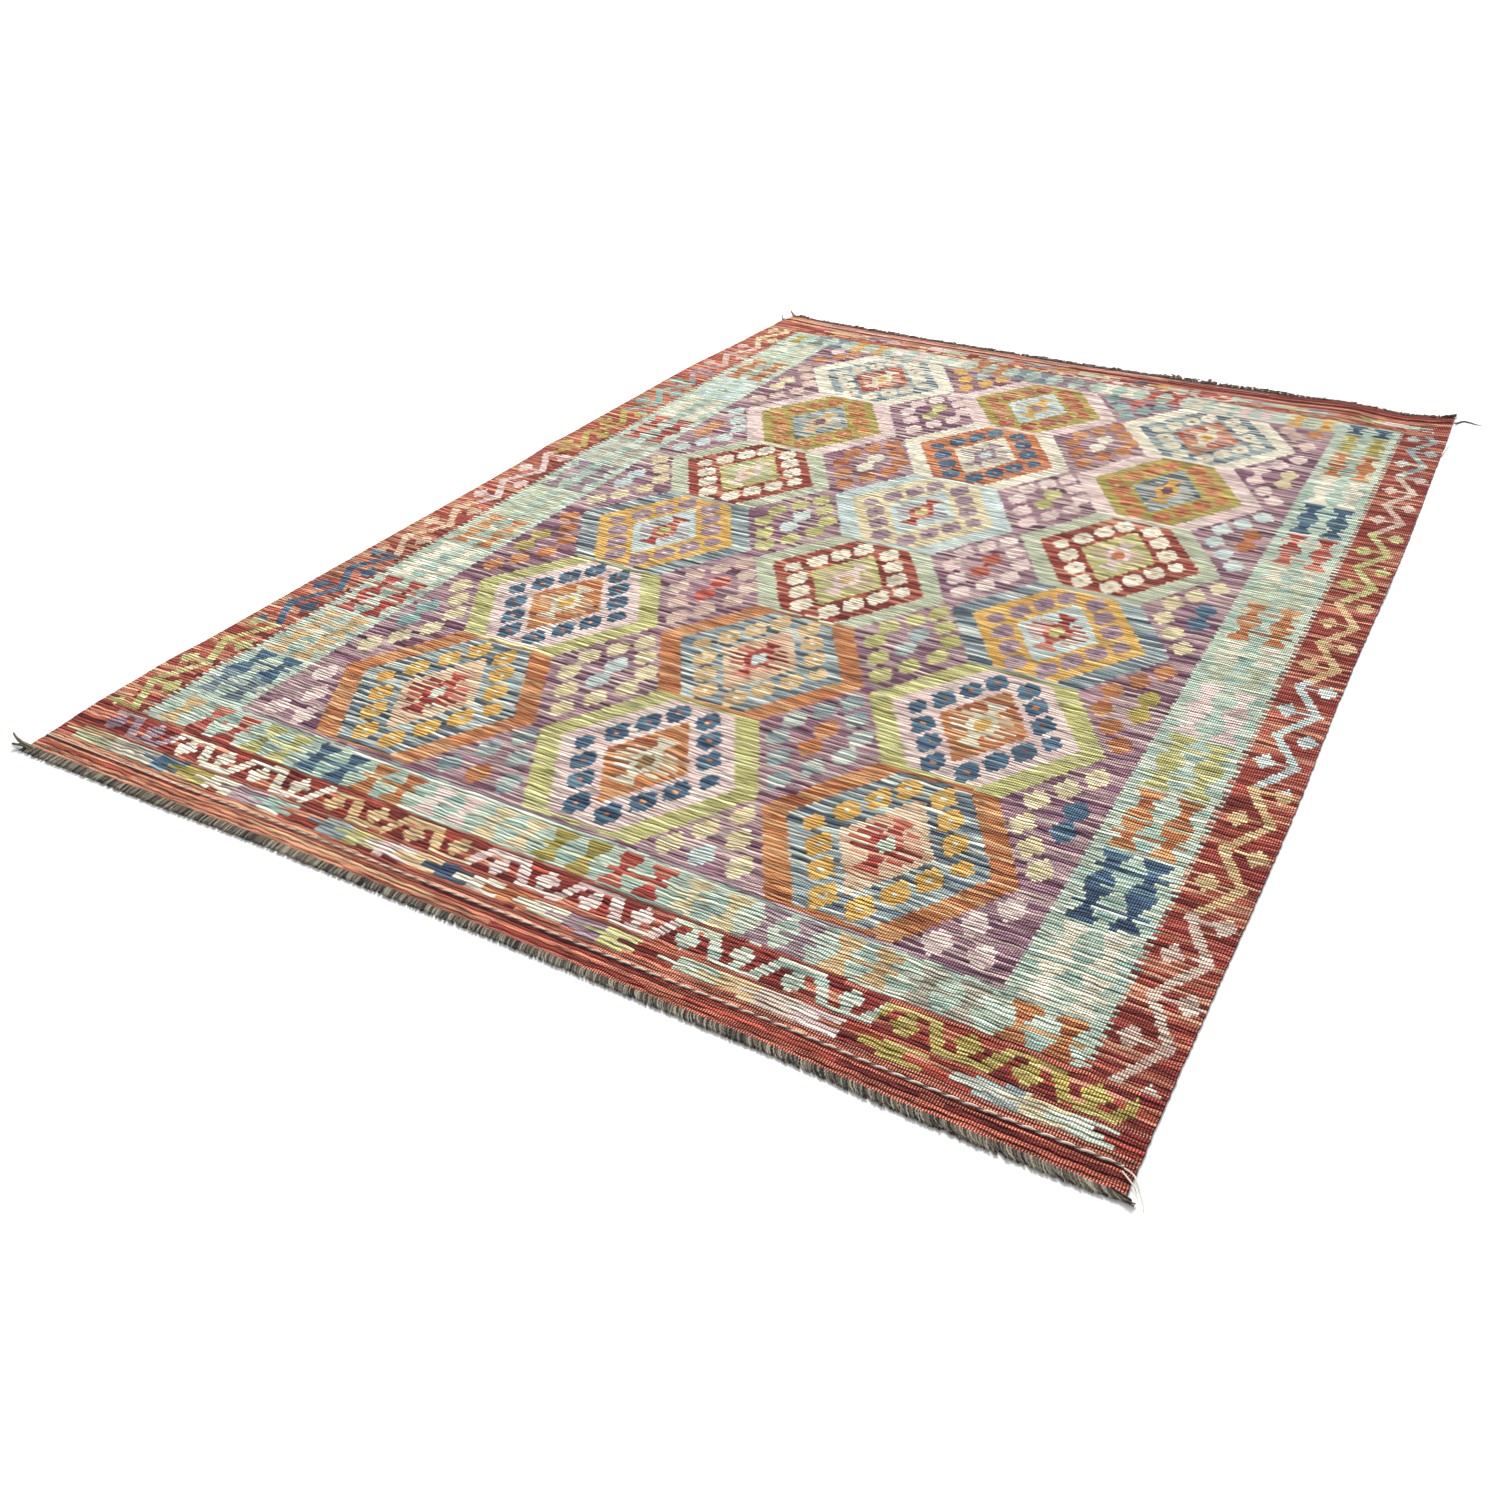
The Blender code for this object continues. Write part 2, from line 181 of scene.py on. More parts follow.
DYES = {
    "brick": [
        (152, 66, 54), (108, 28, 30), (182, 114, 90),
        (166, 84, 68), (194, 138, 110), (132, 44, 40),
    ],
    "ruby": [
        (146, 54, 44), (98, 20, 26), (186, 108, 84),
        (156, 64, 50), (206, 140, 112), (114, 30, 32),
    ],
    "salmon": [
        (186, 112, 86), (162, 72, 56), (206, 150, 118),
        (146, 48, 42), (176, 92, 72), (190, 150, 114),
    ],
    "rosewood": [(192, 136, 118), (168, 90, 76), (212, 164, 144), (154, 68, 58), (202, 150, 130)],
    "orange": [
        (194, 132, 84), (172, 100, 60), (210, 162, 116),
        (184, 118, 72), (148, 80, 52), (200, 148, 100),
    ],
    "rust": [(186, 106, 66), (202, 132, 88), (158, 78, 50), (212, 150, 108)],
    "gold": [(212, 166, 86), (198, 150, 72), (222, 184, 110)],
    "mustard": [(174, 156, 86), (156, 138, 68), (190, 174, 108)],
    "khaki": [(174, 158, 118), (152, 146, 106), (192, 180, 142), (178, 136, 100), (162, 170, 136)],
    "tan": [(206, 176, 130), (194, 158, 112), (218, 192, 150)],
    "sand": [(214, 200, 160), (202, 184, 140), (224, 212, 178)],
    "peach": [(214, 186, 156), (206, 170, 138), (222, 200, 172), (198, 154, 124)],
    "ivory": [(226, 218, 196), (216, 206, 180), (234, 228, 210)],
    "cream": [(214, 206, 182), (202, 194, 168), (224, 218, 198)],
    "lime": [(194, 190, 130), (176, 172, 108), (208, 204, 150), (156, 150, 88)],
    "olive": [(166, 152, 80), (148, 134, 62), (184, 172, 100), (190, 160, 92)],
    "sage": [(184, 190, 162), (170, 176, 148), (198, 202, 178)],
    "mint": [
        (184, 200, 182), (166, 186, 170), (200, 210, 192),
        (146, 172, 160), (190, 200, 174), (202, 206, 188),
    ],
    "pool": [(152, 180, 168), (128, 160, 152), (174, 194, 178)],
    "teal": [(134, 164, 158), (112, 146, 144), (156, 182, 172)],
    "ice": [(192, 206, 200), (176, 192, 190), (206, 214, 204)],
    "haze": [(156, 170, 166), (128, 146, 148), (190, 196, 182), (110, 128, 134), (202, 204, 190)],
    "steel": [
        (174, 184, 178), (122, 138, 142), (150, 164, 164),
        (86, 102, 114), (202, 206, 194), (64, 78, 92),
    ],
    "denim": [(80, 112, 132), (60, 88, 114), (106, 134, 146), (48, 72, 98)],
    "slate": [(122, 138, 148), (100, 118, 132), (148, 162, 164), (84, 104, 122)],
    "navy": [(54, 80, 108), (42, 62, 90), (74, 100, 122)],
    "mauve": [(156, 132, 140), (136, 110, 124), (174, 152, 154)],
    "plum": [(114, 84, 104), (94, 62, 86), (134, 104, 118)],
    "purple": [
        (160, 128, 136), (182, 156, 154), (126, 86, 106),
        (94, 56, 80), (192, 170, 162), (144, 106, 120),
    ],
    "pink": [(224, 202, 194), (214, 188, 182), (232, 214, 202), (202, 174, 170)],
    "blush": [(204, 178, 162), (194, 160, 146), (214, 194, 178)],
    "umber": [(150, 118, 78), (128, 96, 60), (170, 140, 98)],
    "grey": [(174, 168, 150), (156, 150, 134), (192, 186, 168)],
    "madder": [(180, 82, 68), (152, 46, 46), (202, 126, 104), (114, 24, 30), (216, 156, 132)],
}
DYE_NUMBER = {name: number for number, name in enumerate(DYES)}
MOST_TONES = max(len(tones) for tones in DYES.values())

# ---- The chart ----------------------------------------------------------------------------
# The weaver's chart: one cell for each warp and each streak of weft. The motifs are the common
# ones of such rugs: stacked hexagons with flowers, stepped lozenges between them, hourglass
# pairs in the pale border, and a vine in the red one.

WARPS = 512
STREAKS = 372
weaver = np.random.default_rng(7)

# Streaks are not all of one height, and their lines wander by a few millimetres
streak_heights = weaver.uniform(0.72, 1.3, STREAKS)
streak_lines = np.concatenate([[0.0], np.cumsum(streak_heights)]) / streak_heights.sum()

# The waves of a line of weft: how high in mm, how many across and along the rug, and the phase
Wave = namedtuple("Wave", "high across along phase")
WAVES = [
    Wave(1.7, 1.3, 2.1, 0.4),
    Wave(1.1, 3.7, -4.1, 1.3),
    Wave(0.9, 7.9, 6.3, 2.2),
    Wave(0.7, 14.3, -17.1, 0.9),
    Wave(0.6, 23.7, 19.3, 4.0),
    Wave(0.5, 35.1, -27.9, 2.7),
]
HUMP = 0.0036
STILL_END = 0.02


def wander(across, along):
    """How far a line of weft strays along the rug, in shares of its length.

    One spot near the first row of hexagons is buckled more than the rest.
    """
    drift = np.zeros(np.broadcast(across, along).shape)
    for wave in WAVES:
        angle = 2 * math.pi * (wave.across * across + wave.along * along) + wave.phase
        drift = drift + wave.high / 1000 / LENGTH * np.sin(angle)
    hump_x, hump_y = (across - 0.497) / 0.05, (along - 0.180) / 0.030
    drift = drift + HUMP * np.exp(-hump_x * hump_x - hump_y * hump_y) * np.cos(hump_x * 1.6)
    return drift * np.clip(np.minimum(along, 1 - along) / STILL_END, 0, 1)


warp_middles = (np.arange(WARPS) + 0.5) / WARPS
streak_middles = (streak_lines[:-1] + streak_lines[1:]) / 2
across_grid, along_grid = np.meshgrid(warp_middles, streak_middles)
along_grid = along_grid + wander(across_grid, along_grid)

# Weft turns round a warp a little early or late, which makes every edge ragged
LANE = 6
RAGGED = 1.3
ragged = weaver.uniform(-RAGGED, RAGGED, (STREAKS, WARPS // LANE + 1)).repeat(LANE, axis=1)[:, :WARPS]
S = across_grid * WIDTH * 1000 + ragged
T = along_grid * LENGTH * 1000
chart = np.full((STREAKS, WARPS), DYE_NUMBER["brick"])
dotted = np.zeros((STREAKS, WARPS), bool)

# The end bands run a little downhill to the right, and the far ones stay straight where the
# woven end bows in
NEAR_TILT = 23
FAR_TILT = 0.02
odd_streak = np.arange(STREAKS)[:, None] % 2 == 1
serrated = np.where(odd_streak, 1.7, -1.7) + weaver.uniform(-0.9, 0.9, (STREAKS, 1))
NEAR = T + NEAR_TILT * np.clip((T - 50) / 200, 0, 1) * np.clip((S - 900) / 1000, 0, 1.1)
FAR = (place(across_grid, along_grid)[1] + LENGTH / 2) * 1000 + FAR_TILT * (S - 1020)


def weave(where, dye):
    """Weave a part of the chart in one dye."""
    chart[where] = DYE_NUMBER[dye]


def lozenge(x, y, half_wide, half_high, blunt, full=1.0):
    """A stepped diamond, blunt at its top and bottom; full above 1 swells its sides."""
    high = np.abs(T - y)
    edge = blunt + (half_wide - blunt) * (1 - np.clip(high / half_high, 0, 1) ** full)
    edge = np.maximum(edge + serrated * 0.8, 3.0)
    return (np.abs(S - x) < edge) & (high < half_high)


def box(x0, y0, x1, y1, rows):
    """A plain block between two corners, along the given rows."""
    return (S >= x0) & (S < x1) & (rows >= y0) & (rows < y1)


# The pale border's frame, with fingers of weft interlocked into the red on both sides
FINGER = 5.0
BORDER_LEFT, BORDER_RIGHT = 104.0, 1941.0
FIELD_LEFT, FIELD_RIGHT = 250.0, 1788.0
BORDER_NEAR, FIELD_NEAR, FIELD_FAR, BORDER_FAR = 178.0, 285.0, 2694.0, 2790.0
fingers = np.where(odd_streak, FINGER, -FINGER)
border_streaks = (NEAR > BORDER_NEAR) & (FAR < BORDER_FAR)
weave((S > BORDER_LEFT + fingers) & (S < BORDER_RIGHT + fingers) & border_streaks, "mint")
small_fingers = fingers * 0.5
field_streaks = (NEAR > FIELD_NEAR) & (FAR < FIELD_FAR)
weave((S > FIELD_LEFT + small_fingers) & (S < FIELD_RIGHT + small_fingers) & field_streaks, "purple")


STEM = 9.5
BUD_LONG, BUD_WIDE = 27, 21


def vine(turns, low, high, runs):
    """A zigzag stem between two lines; a bud on a short stalk stands opposite every turn."""
    for number, (start, stop) in enumerate(zip(turns, turns[1:])):
        begin, end = (low, high) if number % 2 else (high, low)
        middle = begin + (end - begin) * (T - start) / (stop - start)
        stem = (T >= start) & (T < stop) & (np.abs(S - middle) < STEM)
        reach, away = np.abs(T - start), np.abs(S - end)
        bud = (away / BUD_WIDE + reach / BUD_LONG < 1) | (away < 4) & (reach < BUD_LONG * 0.8)
        stalk = (reach < STEM * 0.42) & (S > low) & (S < high)
        for run in runs:
            weave((stem | bud | stalk) & border_streaks & (T >= run.start) & (T < run.stop), run.dye)


Run = namedtuple("Run", "start stop dye")
RIGHT_VINE = [
    Run(165, 560, "blush"),
    Run(560, 935, "tan"),
    Run(935, 1335, "ice"),
    Run(1335, 1700, "tan"),
    Run(1700, 2085, "lime"),
    Run(2085, 2450, "blush"),
    Run(2450, 2800, "haze"),
]
LEFT_VINE = [
    Run(175, 556, "lime"),
    Run(556, 928, "denim"),
    Run(928, 1250, "peach"),
    Run(1250, 1590, "pink"),
    Run(1590, 1950, "mustard"),
    Run(1950, 2250, "teal"),
    Run(2250, 2400, "mauve"),
    Run(2400, 2640, "blush"),
    Run(2640, 2810, "sand"),
]
vine([64.5 + 95.5 * step for step in range(30)], 1974, 2026, RIGHT_VINE)
vine([181 + 93 * step for step in range(30)], 30, 80, LEFT_VINE)


HOURGLASS_HALF, HOURGLASS_NECK = 23, 8.5


def hourglass_pair(x0, x1, y0, y1, dye, rows):
    """Two hourglasses side by side, tied by a thin bar at half their height.

    Two darker spots fill the gap between them. Where x0 is x1 it is a single hourglass.
    """
    middle, half = (y0 + y1) / 2, (y1 - y0) / 2
    high = np.abs(rows - middle) / half
    for x in (x0, x1):
        flare = HOURGLASS_NECK + (HOURGLASS_HALF - HOURGLASS_NECK) * np.clip((high - 0.25) / 0.55, 0, 1)
        weave((np.abs(S - x) < flare + serrated * 0.7) & (high < 1), dye)
    bar_end = HOURGLASS_HALF + 3
    weave(box(x0 - bar_end, middle - 3.4, x1 + bar_end, middle + 3.4, rows), dye)
    if x1 == x0:
        return
    gap = (x0 + x1) / 2
    for spot_middle in (middle - 22, middle + 22):
        spot = box(gap - 15, spot_middle - 7, gap + 15, spot_middle + 7, rows)
        weave(spot & (weaver.random((STREAKS, 1)) < 0.75), "pool")


Pair = namedtuple("Pair", "start stop dye")
LEFT_COLUMN, RIGHT_COLUMN = (146, 211), (1833, 1898)
LEFT_PAIRS = [
    Pair(290, 375, "slate"),
    Pair(380, 465, "denim"),
    Pair(475, 565, "tan"),
    Pair(570, 660, "tan"),
    Pair(675, 750, "madder"),
    Pair(755, 845, "madder"),
    Pair(855, 945, "ivory"),
    Pair(950, 1040, "ivory"),
    Pair(1052, 1130, "orange"),
    Pair(1135, 1212, "orange"),
    Pair(1222, 1312, "sage"),
    Pair(1317, 1408, "sage"),
    Pair(1415, 1500, "mauve"),
    Pair(1508, 1588, "mauve"),
    Pair(1600, 1685, "grey"),
    Pair(1690, 1775, "grey"),
    Pair(1786, 1870, "madder"),
    Pair(1878, 1958, "madder"),
    Pair(1968, 2054, "cream"),
    Pair(2060, 2145, "cream"),
    Pair(2152, 2238, "ice"),
    Pair(2243, 2326, "ice"),
    Pair(2333, 2415, "orange"),
    Pair(2421, 2505, "orange"),
    Pair(2515, 2605, "sage"),
    Pair(2612, 2696, "cream"),
    Pair(2704, 2780, "olive"),
]
RIGHT_PAIRS = [
    Pair(165, 250, "orange"),
    Pair(257, 350, "ivory"),
    Pair(354, 450, "ivory"),
    Pair(458, 546, "navy"),
    Pair(551, 648, "denim"),
    Pair(655, 745, "orange"),
    Pair(751, 838, "orange"),
    Pair(848, 940, "lime"),
    Pair(945, 1032, "lime"),
    Pair(1040, 1136, "pink"),
    Pair(1141, 1236, "pink"),
    Pair(1244, 1334, "sage"),
    Pair(1339, 1428, "cream"),
    Pair(1436, 1518, "orange"),
    Pair(1525, 1610, "orange"),
    Pair(1618, 1710, "sage"),
    Pair(1716, 1808, "cream"),
    Pair(1817, 1900, "madder"),
    Pair(1905, 1998, "madder"),
    Pair(2006, 2092, "denim"),
    Pair(2097, 2185, "navy"),
    Pair(2194, 2285, "ivory"),
    Pair(2290, 2372, "ivory"),
    Pair(2378, 2466, "orange"),
    Pair(2471, 2548, "orange"),
    Pair(2557, 2622, "olive"),
    Pair(2627, 2692, "olive"),
    Pair(2700, 2772, "navy"),
]
for pair in LEFT_PAIRS:
    hourglass_pair(*LEFT_COLUMN, pair.start, pair.stop, pair.dye, T)
for pair in RIGHT_PAIRS:
    hourglass_pair(*RIGHT_COLUMN, pair.start, pair.stop, pair.dye, T)

EndPair = namedtuple("EndPair", "x0 x1 dye")
NEAR_PAIRS = [
    EndPair(160, 160, "tan"),
    EndPair(230, 298, "madder"),
    EndPair(365, 430, "lime"),
    EndPair(496, 566, "denim"),
    EndPair(631, 700, "orange"),
    EndPair(770, 835, "pink"),
    EndPair(900, 968, "sand"),
    EndPair(1026, 1092, "olive"),
    EndPair(1157, 1222, "madder"),
    EndPair(1290, 1362, "sand"),
    EndPair(1425, 1487, "mauve"),
    EndPair(1555, 1620, "tan"),
    EndPair(1690, 1755, "grey"),
]
FAR_PAIRS = [
    EndPair(210, 276, "slate"),
    EndPair(345, 416, "gold"),
    EndPair(485, 552, "pink"),
    EndPair(617, 684, "ivory"),
    EndPair(752, 815, "orange"),
    EndPair(884, 952, "slate"),
    EndPair(1020, 1085, "mauve"),
    EndPair(1152, 1216, "ivory"),
    EndPair(1281, 1348, "madder"),
    EndPair(1412, 1478, "cream"),
    EndPair(1540, 1600, "pink"),
    EndPair(1681, 1758, "gold"),
]
for pair in NEAR_PAIRS:
    hourglass_pair(pair.x0, pair.x1, BORDER_NEAR + 4, FIELD_NEAR - 15, pair.dye, NEAR)
for pair in FAR_PAIRS:
    hourglass_pair(pair.x0, pair.x1, FIELD_FAR + 8, BORDER_FAR - 3, pair.dye, FAR)

# The end bands: the vine lies on its side with flat turns, then a row of blocks with prongs
NEAR_VINE = [
    Run(60, 225, "mauve"),
    Run(225, 600, "ivory"),
    Run(600, 925, "tan"),
    Run(925, 1310, "pink"),
    Run(1310, 1655, "mint"),
    Run(1655, 2020, "mustard"),
]
FAR_VINE = [
    Run(60, 500, "salmon"),
    Run(500, 980, "tan"),
    Run(980, 1500, "pink"),
    Run(1500, 1990, "salmon"),
]


END_TURNS, FIRST_END_TURN, END_TURN_STEP = 23, 85, 89.6


def end_vine(rows, low, high, bar, runs):
    """A stem that steps between the band's two edges, with a bud opposite every flat turn."""
    middle, half = (low + high) / 2, (high - low) / 2
    stem = np.zeros((STREAKS, WARPS), bool)
    for number in range(END_TURNS):
        turn = FIRST_END_TURN + END_TURN_STEP * number
        side = 1 if number % 2 == 0 else -1
        rise = side * (rows - middle)
        stem |= (np.abs(S - turn) < 37) & (rise > half - bar) & (rise < half)
        bud = np.abs(S - turn) / 23 + np.abs(rise + half * 0.18) / (half * 0.86) < 1
        stem |= bud & (rise > -half * 0.94)
        stem |= (np.abs(S - turn) < 8) & (rise > -half * 0.2) & (rise < half)
        leg = turn + END_TURN_STEP / 2 - side * (rows - middle) / half * 15
        stem |= (np.abs(S - leg) < 11) & (np.abs(rise) < half)
    for run in runs:
        weave(stem & (S >= run.start) & (S < run.stop), run.dye)


end_vine(NEAR, 107, 169, 12, NEAR_VINE)
end_vine(FAR, 2795, 2819, 6, FAR_VINE)

# Each block's left edge and dye
NEAR_BLOCKS = {
    45: "khaki", 130: "grey", 245: "denim", 310: "olive", 377: "ivory", 440: "mauve", 510: "mint",
    580: "brick", 645: "haze", 705: "lime", 770: "pink", 840: "tan", 897: "navy", 960: "ivory",
    1022: "rust", 1083: "cream", 1148: "mauve", 1217: "lime", 1280: "brick", 1350: "mint",
    1420: "tan", 1485: "blush", 1550: "pink", 1620: "brick", 1682: "mustard", 1750: "brick",
    1820: "haze", 1887: "sand", 1952: "mint", 2014: "brick",
}
FAR_BLOCKS = {
    40: "salmon", 205: "tan", 330: "mauve", 400: "blush", 475: "orange", 540: "pink", 610: "sage",
    675: "brick", 740: "haze", 820: "salmon", 885: "teal", 918: "mauve", 962: "orange",
    1030: "sage", 1100: "sand", 1155: "brick", 1208: "navy", 1270: "gold", 1330: "mint",
    1390: "madder", 1480: "mint", 1540: "mauve", 1600: "sage", 1650: "tan", 1690: "haze",
    1775: "salmon", 1835: "lime", 1890: "pink", 1950: "mint", 2012: "brick",
}


PRONG_LONG = 32
PRONG_SHARE = 0.16


def comb_row(blocks, rows, low, high):
    """A band of blocks; each block's prong reaches left into the one before."""
    starts = list(blocks)
    for start, stop in zip(starts, starts[1:]):
        weave(box(start, low, stop, high, rows), blocks[start])
    middle, prong = (low + high) / 2, (high - low) * PRONG_SHARE
    for start, dye in blocks.items():
        weave(box(start - PRONG_LONG, middle - prong, start, middle + prong, rows), dye)


comb_row(NEAR_BLOCKS, NEAR, 61, 99)
comb_row(FAR_BLOCKS, FAR, 2823, 2851)


def petals(x, y, dye, heart):
    """A stepped flower with a small heart."""
    weave(lozenge(x, y, 24, 33, 6, 1.3), dye)
    weave((np.abs(S - x) < 5) & (np.abs(T - y) < 4.4), heart)


FLOWERS = [(32, 155), (65, 105), (98, 51), (98, -49), (65, -102), (32, -157)]


def centre_figure(x, y, m):
    """An hourglass with a ringed diamond at its waist and a comb of bars on both sides."""
    high, wide = np.abs(T - y), np.abs(S - x)
    comb = lozenge(x, y, 70, 74, 22) & (high < 47) & (wide > 18)
    weave(comb & ~odd_streak, m.comb)
    weave((wide < 5 + 20 * ((high - 46) / 30)) & (high > 44) & (high < 78), m.figure)
    weave(lozenge(x, y, 31, 56, 5), m.figure)
    weave(lozenge(x, y, 18, 25, 4), m.middle)


Medallion = namedtuple("Medallion", "x low high frame ground petal heart core figure comb middle")
MEDALLIONS = [
    Medallion(540, 288, 722, "orange", "steel", "gold", "ice", "peach", "madder", "madder", "mint"),
    Medallion(1022, 285, 712, "lime", "pink", "denim", "rust", "orange", "cream", "cream", "umber"),
    Medallion(1500, 272, 695, "orange", "steel", "gold", "ice", "peach", "madder", "madder", "mint"),
    Medallion(540, 722, 1125, "lime", "pink", "denim", "rust", "orange", "cream", "peach", "gold"),
    Medallion(1022, 712, 1107, "orange", "steel", "tan", "ivory", "peach", "madder", "madder", "ice"),
    Medallion(1503, 695, 1094, "lime", "pink", "denim", "rust", "orange", "cream", "cream", "gold"),
    Medallion(531, 1125, 1530, "steel", "gold", "mauve", "pink", "ice", "madder", "mauve", "lime"),
    Medallion(1021, 1107, 1500, "sage", "brick", "ivory", "tan", "lime", "pink", "blush", "tan"),
    Medallion(1505, 1094, 1491, "steel", "gold", "mauve", "plum", "ice", "madder", "madder", "lime"),
    Medallion(534, 1530, 1915, "sage", "brick", "ivory", "grey", "lime", "pink", "sage", "tan"),
    Medallion(1021, 1500, 1911, "ice", "sand", "mauve", "plum", "ice", "madder", "mauve", "lime"),
    Medallion(1506, 1491, 1897, "sage", "brick", "ivory", "tan", "lime", "pink", "blush", "rust"),
    Medallion(531, 1915, 2330, "pink", "olive", "orange", "tan", "steel", "tan", "grey", "plum"),
    Medallion(1022, 1911, 2310, "ivory", "rust", "denim", "mauve", "cream", "mauve", "mauve", "ice"),
    Medallion(1502, 1897, 2304, "pink", "olive", "rust", "umber", "steel", "gold", "grey", "plum"),
    Medallion(535, 2330, 2704, "ivory", "steel", "cream", "rust", "salmon", "cream", "blush", "gold"),
    Medallion(1021, 2310, 2692, "pink", "olive", "salmon", "umber", "ice", "gold", "grey", "mauve"),
    Medallion(1497, 2304, 2686, "ivory", "steel", "cream", "umber", "salmon", "cream", "blush", "gold"),
]
FRAME_WIDE, FRAME_HIGH = 47.0, 9.0
OUTER_WIDE, OUTER_BLUNT = 231.0, 112.0
USUAL_HALF = 203
for m in MEDALLIONS:
    centre, half = (m.low + m.high) / 2, (m.high - m.low) / 2
    weave(lozenge(m.x, centre, OUTER_WIDE, half, OUTER_BLUNT), m.frame)
    inner = lozenge(m.x, centre, OUTER_WIDE - FRAME_WIDE, half - FRAME_HIGH, OUTER_BLUNT - FRAME_WIDE)
    weave(inner, m.ground)
    squeeze = half / USUAL_HALF
    for east, north in FLOWERS:
        petals(m.x - east, centre + north * squeeze, m.petal, m.heart)
        petals(m.x + east, centre + north * squeeze, m.petal, m.heart)
    for east in (-132, 132):
        weave(lozenge(m.x + east, centre, 21, 24, 6), m.petal)
    weave(lozenge(m.x, centre, 86, 136 * squeeze, 4), m.core)
    centre_figure(m.x, centre, m)


def small_lozenge(x, y, dye, half_high=32):
    """One of the swollen lozenges on the purple ground."""
    weave(lozenge(x, y, 23, half_high, 4, 1.35), dye)


# Twelve lozenges stand in each gap between the medallions, and fewer at the edges of the ground
Cluster = namedtuple("Cluster", "x y dye middle")
CLUSTERS = [
    Cluster(785, 710, "sand", "ice"),
    Cluster(783, 1118, "blush", "madder"),
    Cluster(778, 1507, "lime", "ice"),
    Cluster(780, 1915, "orange", "ivory"),
    Cluster(781, 2330, "pink", "lime"),
    Cluster(1258, 700, "haze", "orange"),
    Cluster(1262, 1105, "lime", "haze"),
    Cluster(1264, 1500, "pink", "salmon"),
    Cluster(1264, 1905, "pink", "lime"),
    Cluster(1264, 2310, "orange", "ivory"),
]
LOZENGES = [(0, 148), (-34, 100), (34, 100), (-68, 48), (68, 48)]
LOZENGES += [(-68, -20), (68, -20), (-34, -78), (34, -78), (0, -137)]
MIDDLES = [(0, 44), (0, -22)]
for cluster in CLUSTERS:
    for east, north in LOZENGES:
        small_lozenge(cluster.x + east, cluster.y + north, cluster.dye, 33)
    for east, north in MIDDLES:
        small_lozenge(cluster.x + east, cluster.y + north, cluster.middle, 33)

Half = namedtuple("Half", "x y dye middle")
LEFT_HALVES = [
    Half(290, 735, "sand", "teal"),
    Half(287, 1142, "orange", "mustard"),
    Half(287, 1548, "sand", "ice"),
    Half(288, 1940, "ice", "orange"),
    Half(290, 2350, "blush", "sand"),
]
RIGHT_HALVES = [
    Half(1741, 683, "sand", "denim"),
    Half(1744, 1092, "orange", "olive"),
    Half(1746, 1492, "sand", "denim"),
    Half(1745, 1905, "ice", "orange"),
    Half(1743, 2303, "pink", "sand"),
]
HALF_LOZENGES = [(0, 145), (35, 90), (70, 35), (68, -37), (33, -93), (0, -145)]
for side, halves in ((1, LEFT_HALVES), (-1, RIGHT_HALVES)):
    for half in halves:
        for east, north in HALF_LOZENGES:
            small_lozenge(half.x + side * east, half.y + north, half.dye)
        for north in (33, -30):
            small_lozenge(half.x, half.y + north, half.middle)

END_LOZENGES = {
    "pink": [
        (295, 455), (333, 390), (302, 320), (370, 320), (1738, 430),
        (1702, 370), (1665, 305), (1738, 305), (303, 2690),
    ],
    "haze": [(785, 455), (750, 395), (820, 395), (718, 325), (850, 325), (787, 2675)],
    "orange": [(783, 325), (292, 2595), (332, 2643), (361, 2690), (1743, 2648)],
    "sand": [(1255, 440), (1220, 380), (1283, 380), (1187, 318), (1320, 318)],
    "ice": [(1250, 315)],
    "gold": [(717, 2680), (851, 2680), (755, 2627), (819, 2621), (781, 2565)],
    "teal": [(1187, 2669), (1328, 2659), (1224, 2616), (1293, 2611), (1261, 2557)],
    "madder": [(1259, 2664)],
    "blush": [(1673, 2651), (1703, 2611), (1743, 2552)],
}
for dye, spots in END_LOZENGES.items():
    for x, y in spots:
        small_lozenge(x, y, dye)

# Single rows of two yarns picked in turn, which part the bands
PickRow = namedtuple("PickRow", "low high rows left right dye")
PICK_ROWS = [
    PickRow(0, 18, NEAR, 0, 2050, "brick"),
    PickRow(24, 36, NEAR, 0, 2050, "brick"),
    PickRow(46, 60, NEAR, 0, 2050, "brick"),
    PickRow(99, 107, NEAR, 0, 2050, "brick"),
    PickRow(170, 179, NEAR, 40, 2010, "brick"),
    PickRow(278, 285, NEAR, 250, 1790, "mauve"),
    PickRow(2692, 2699, FAR, 250, 1790, "mauve"),
    PickRow(2789, 2795, FAR, 40, 2010, "brick"),
    PickRow(2853, 2860, FAR, 0, 2050, "brick"),
]
for row in PICK_ROWS:
    line = (row.rows >= row.low) & (row.rows < row.high) & (S > row.left) & (S < row.right)
    dotted |= line
    weave(line, row.dye)

# The red wool was paler when the first end was begun, and again along the left side
chalky = weaver.uniform(200, 1150, (STREAKS, 1))
pale_end = (NEAR < 62) & (S < chalky)
pale_side = (S < weaver.uniform(10, 100, (STREAKS, 1)) + 60 * (T > 1800)) & (T > 200)
weave((chart == DYE_NUMBER["brick"]) & (pale_end | pale_side), "salmon")
weave((chart == DYE_NUMBER["brick"]) & (NEAR < BORDER_NEAR), "ruby")
pale_far = (FAR > 2852) & (S < weaver.uniform(1250, 1750, (STREAKS, 1)))
weave((chart == DYE_NUMBER["brick"]) & pale_far, "rosewood")

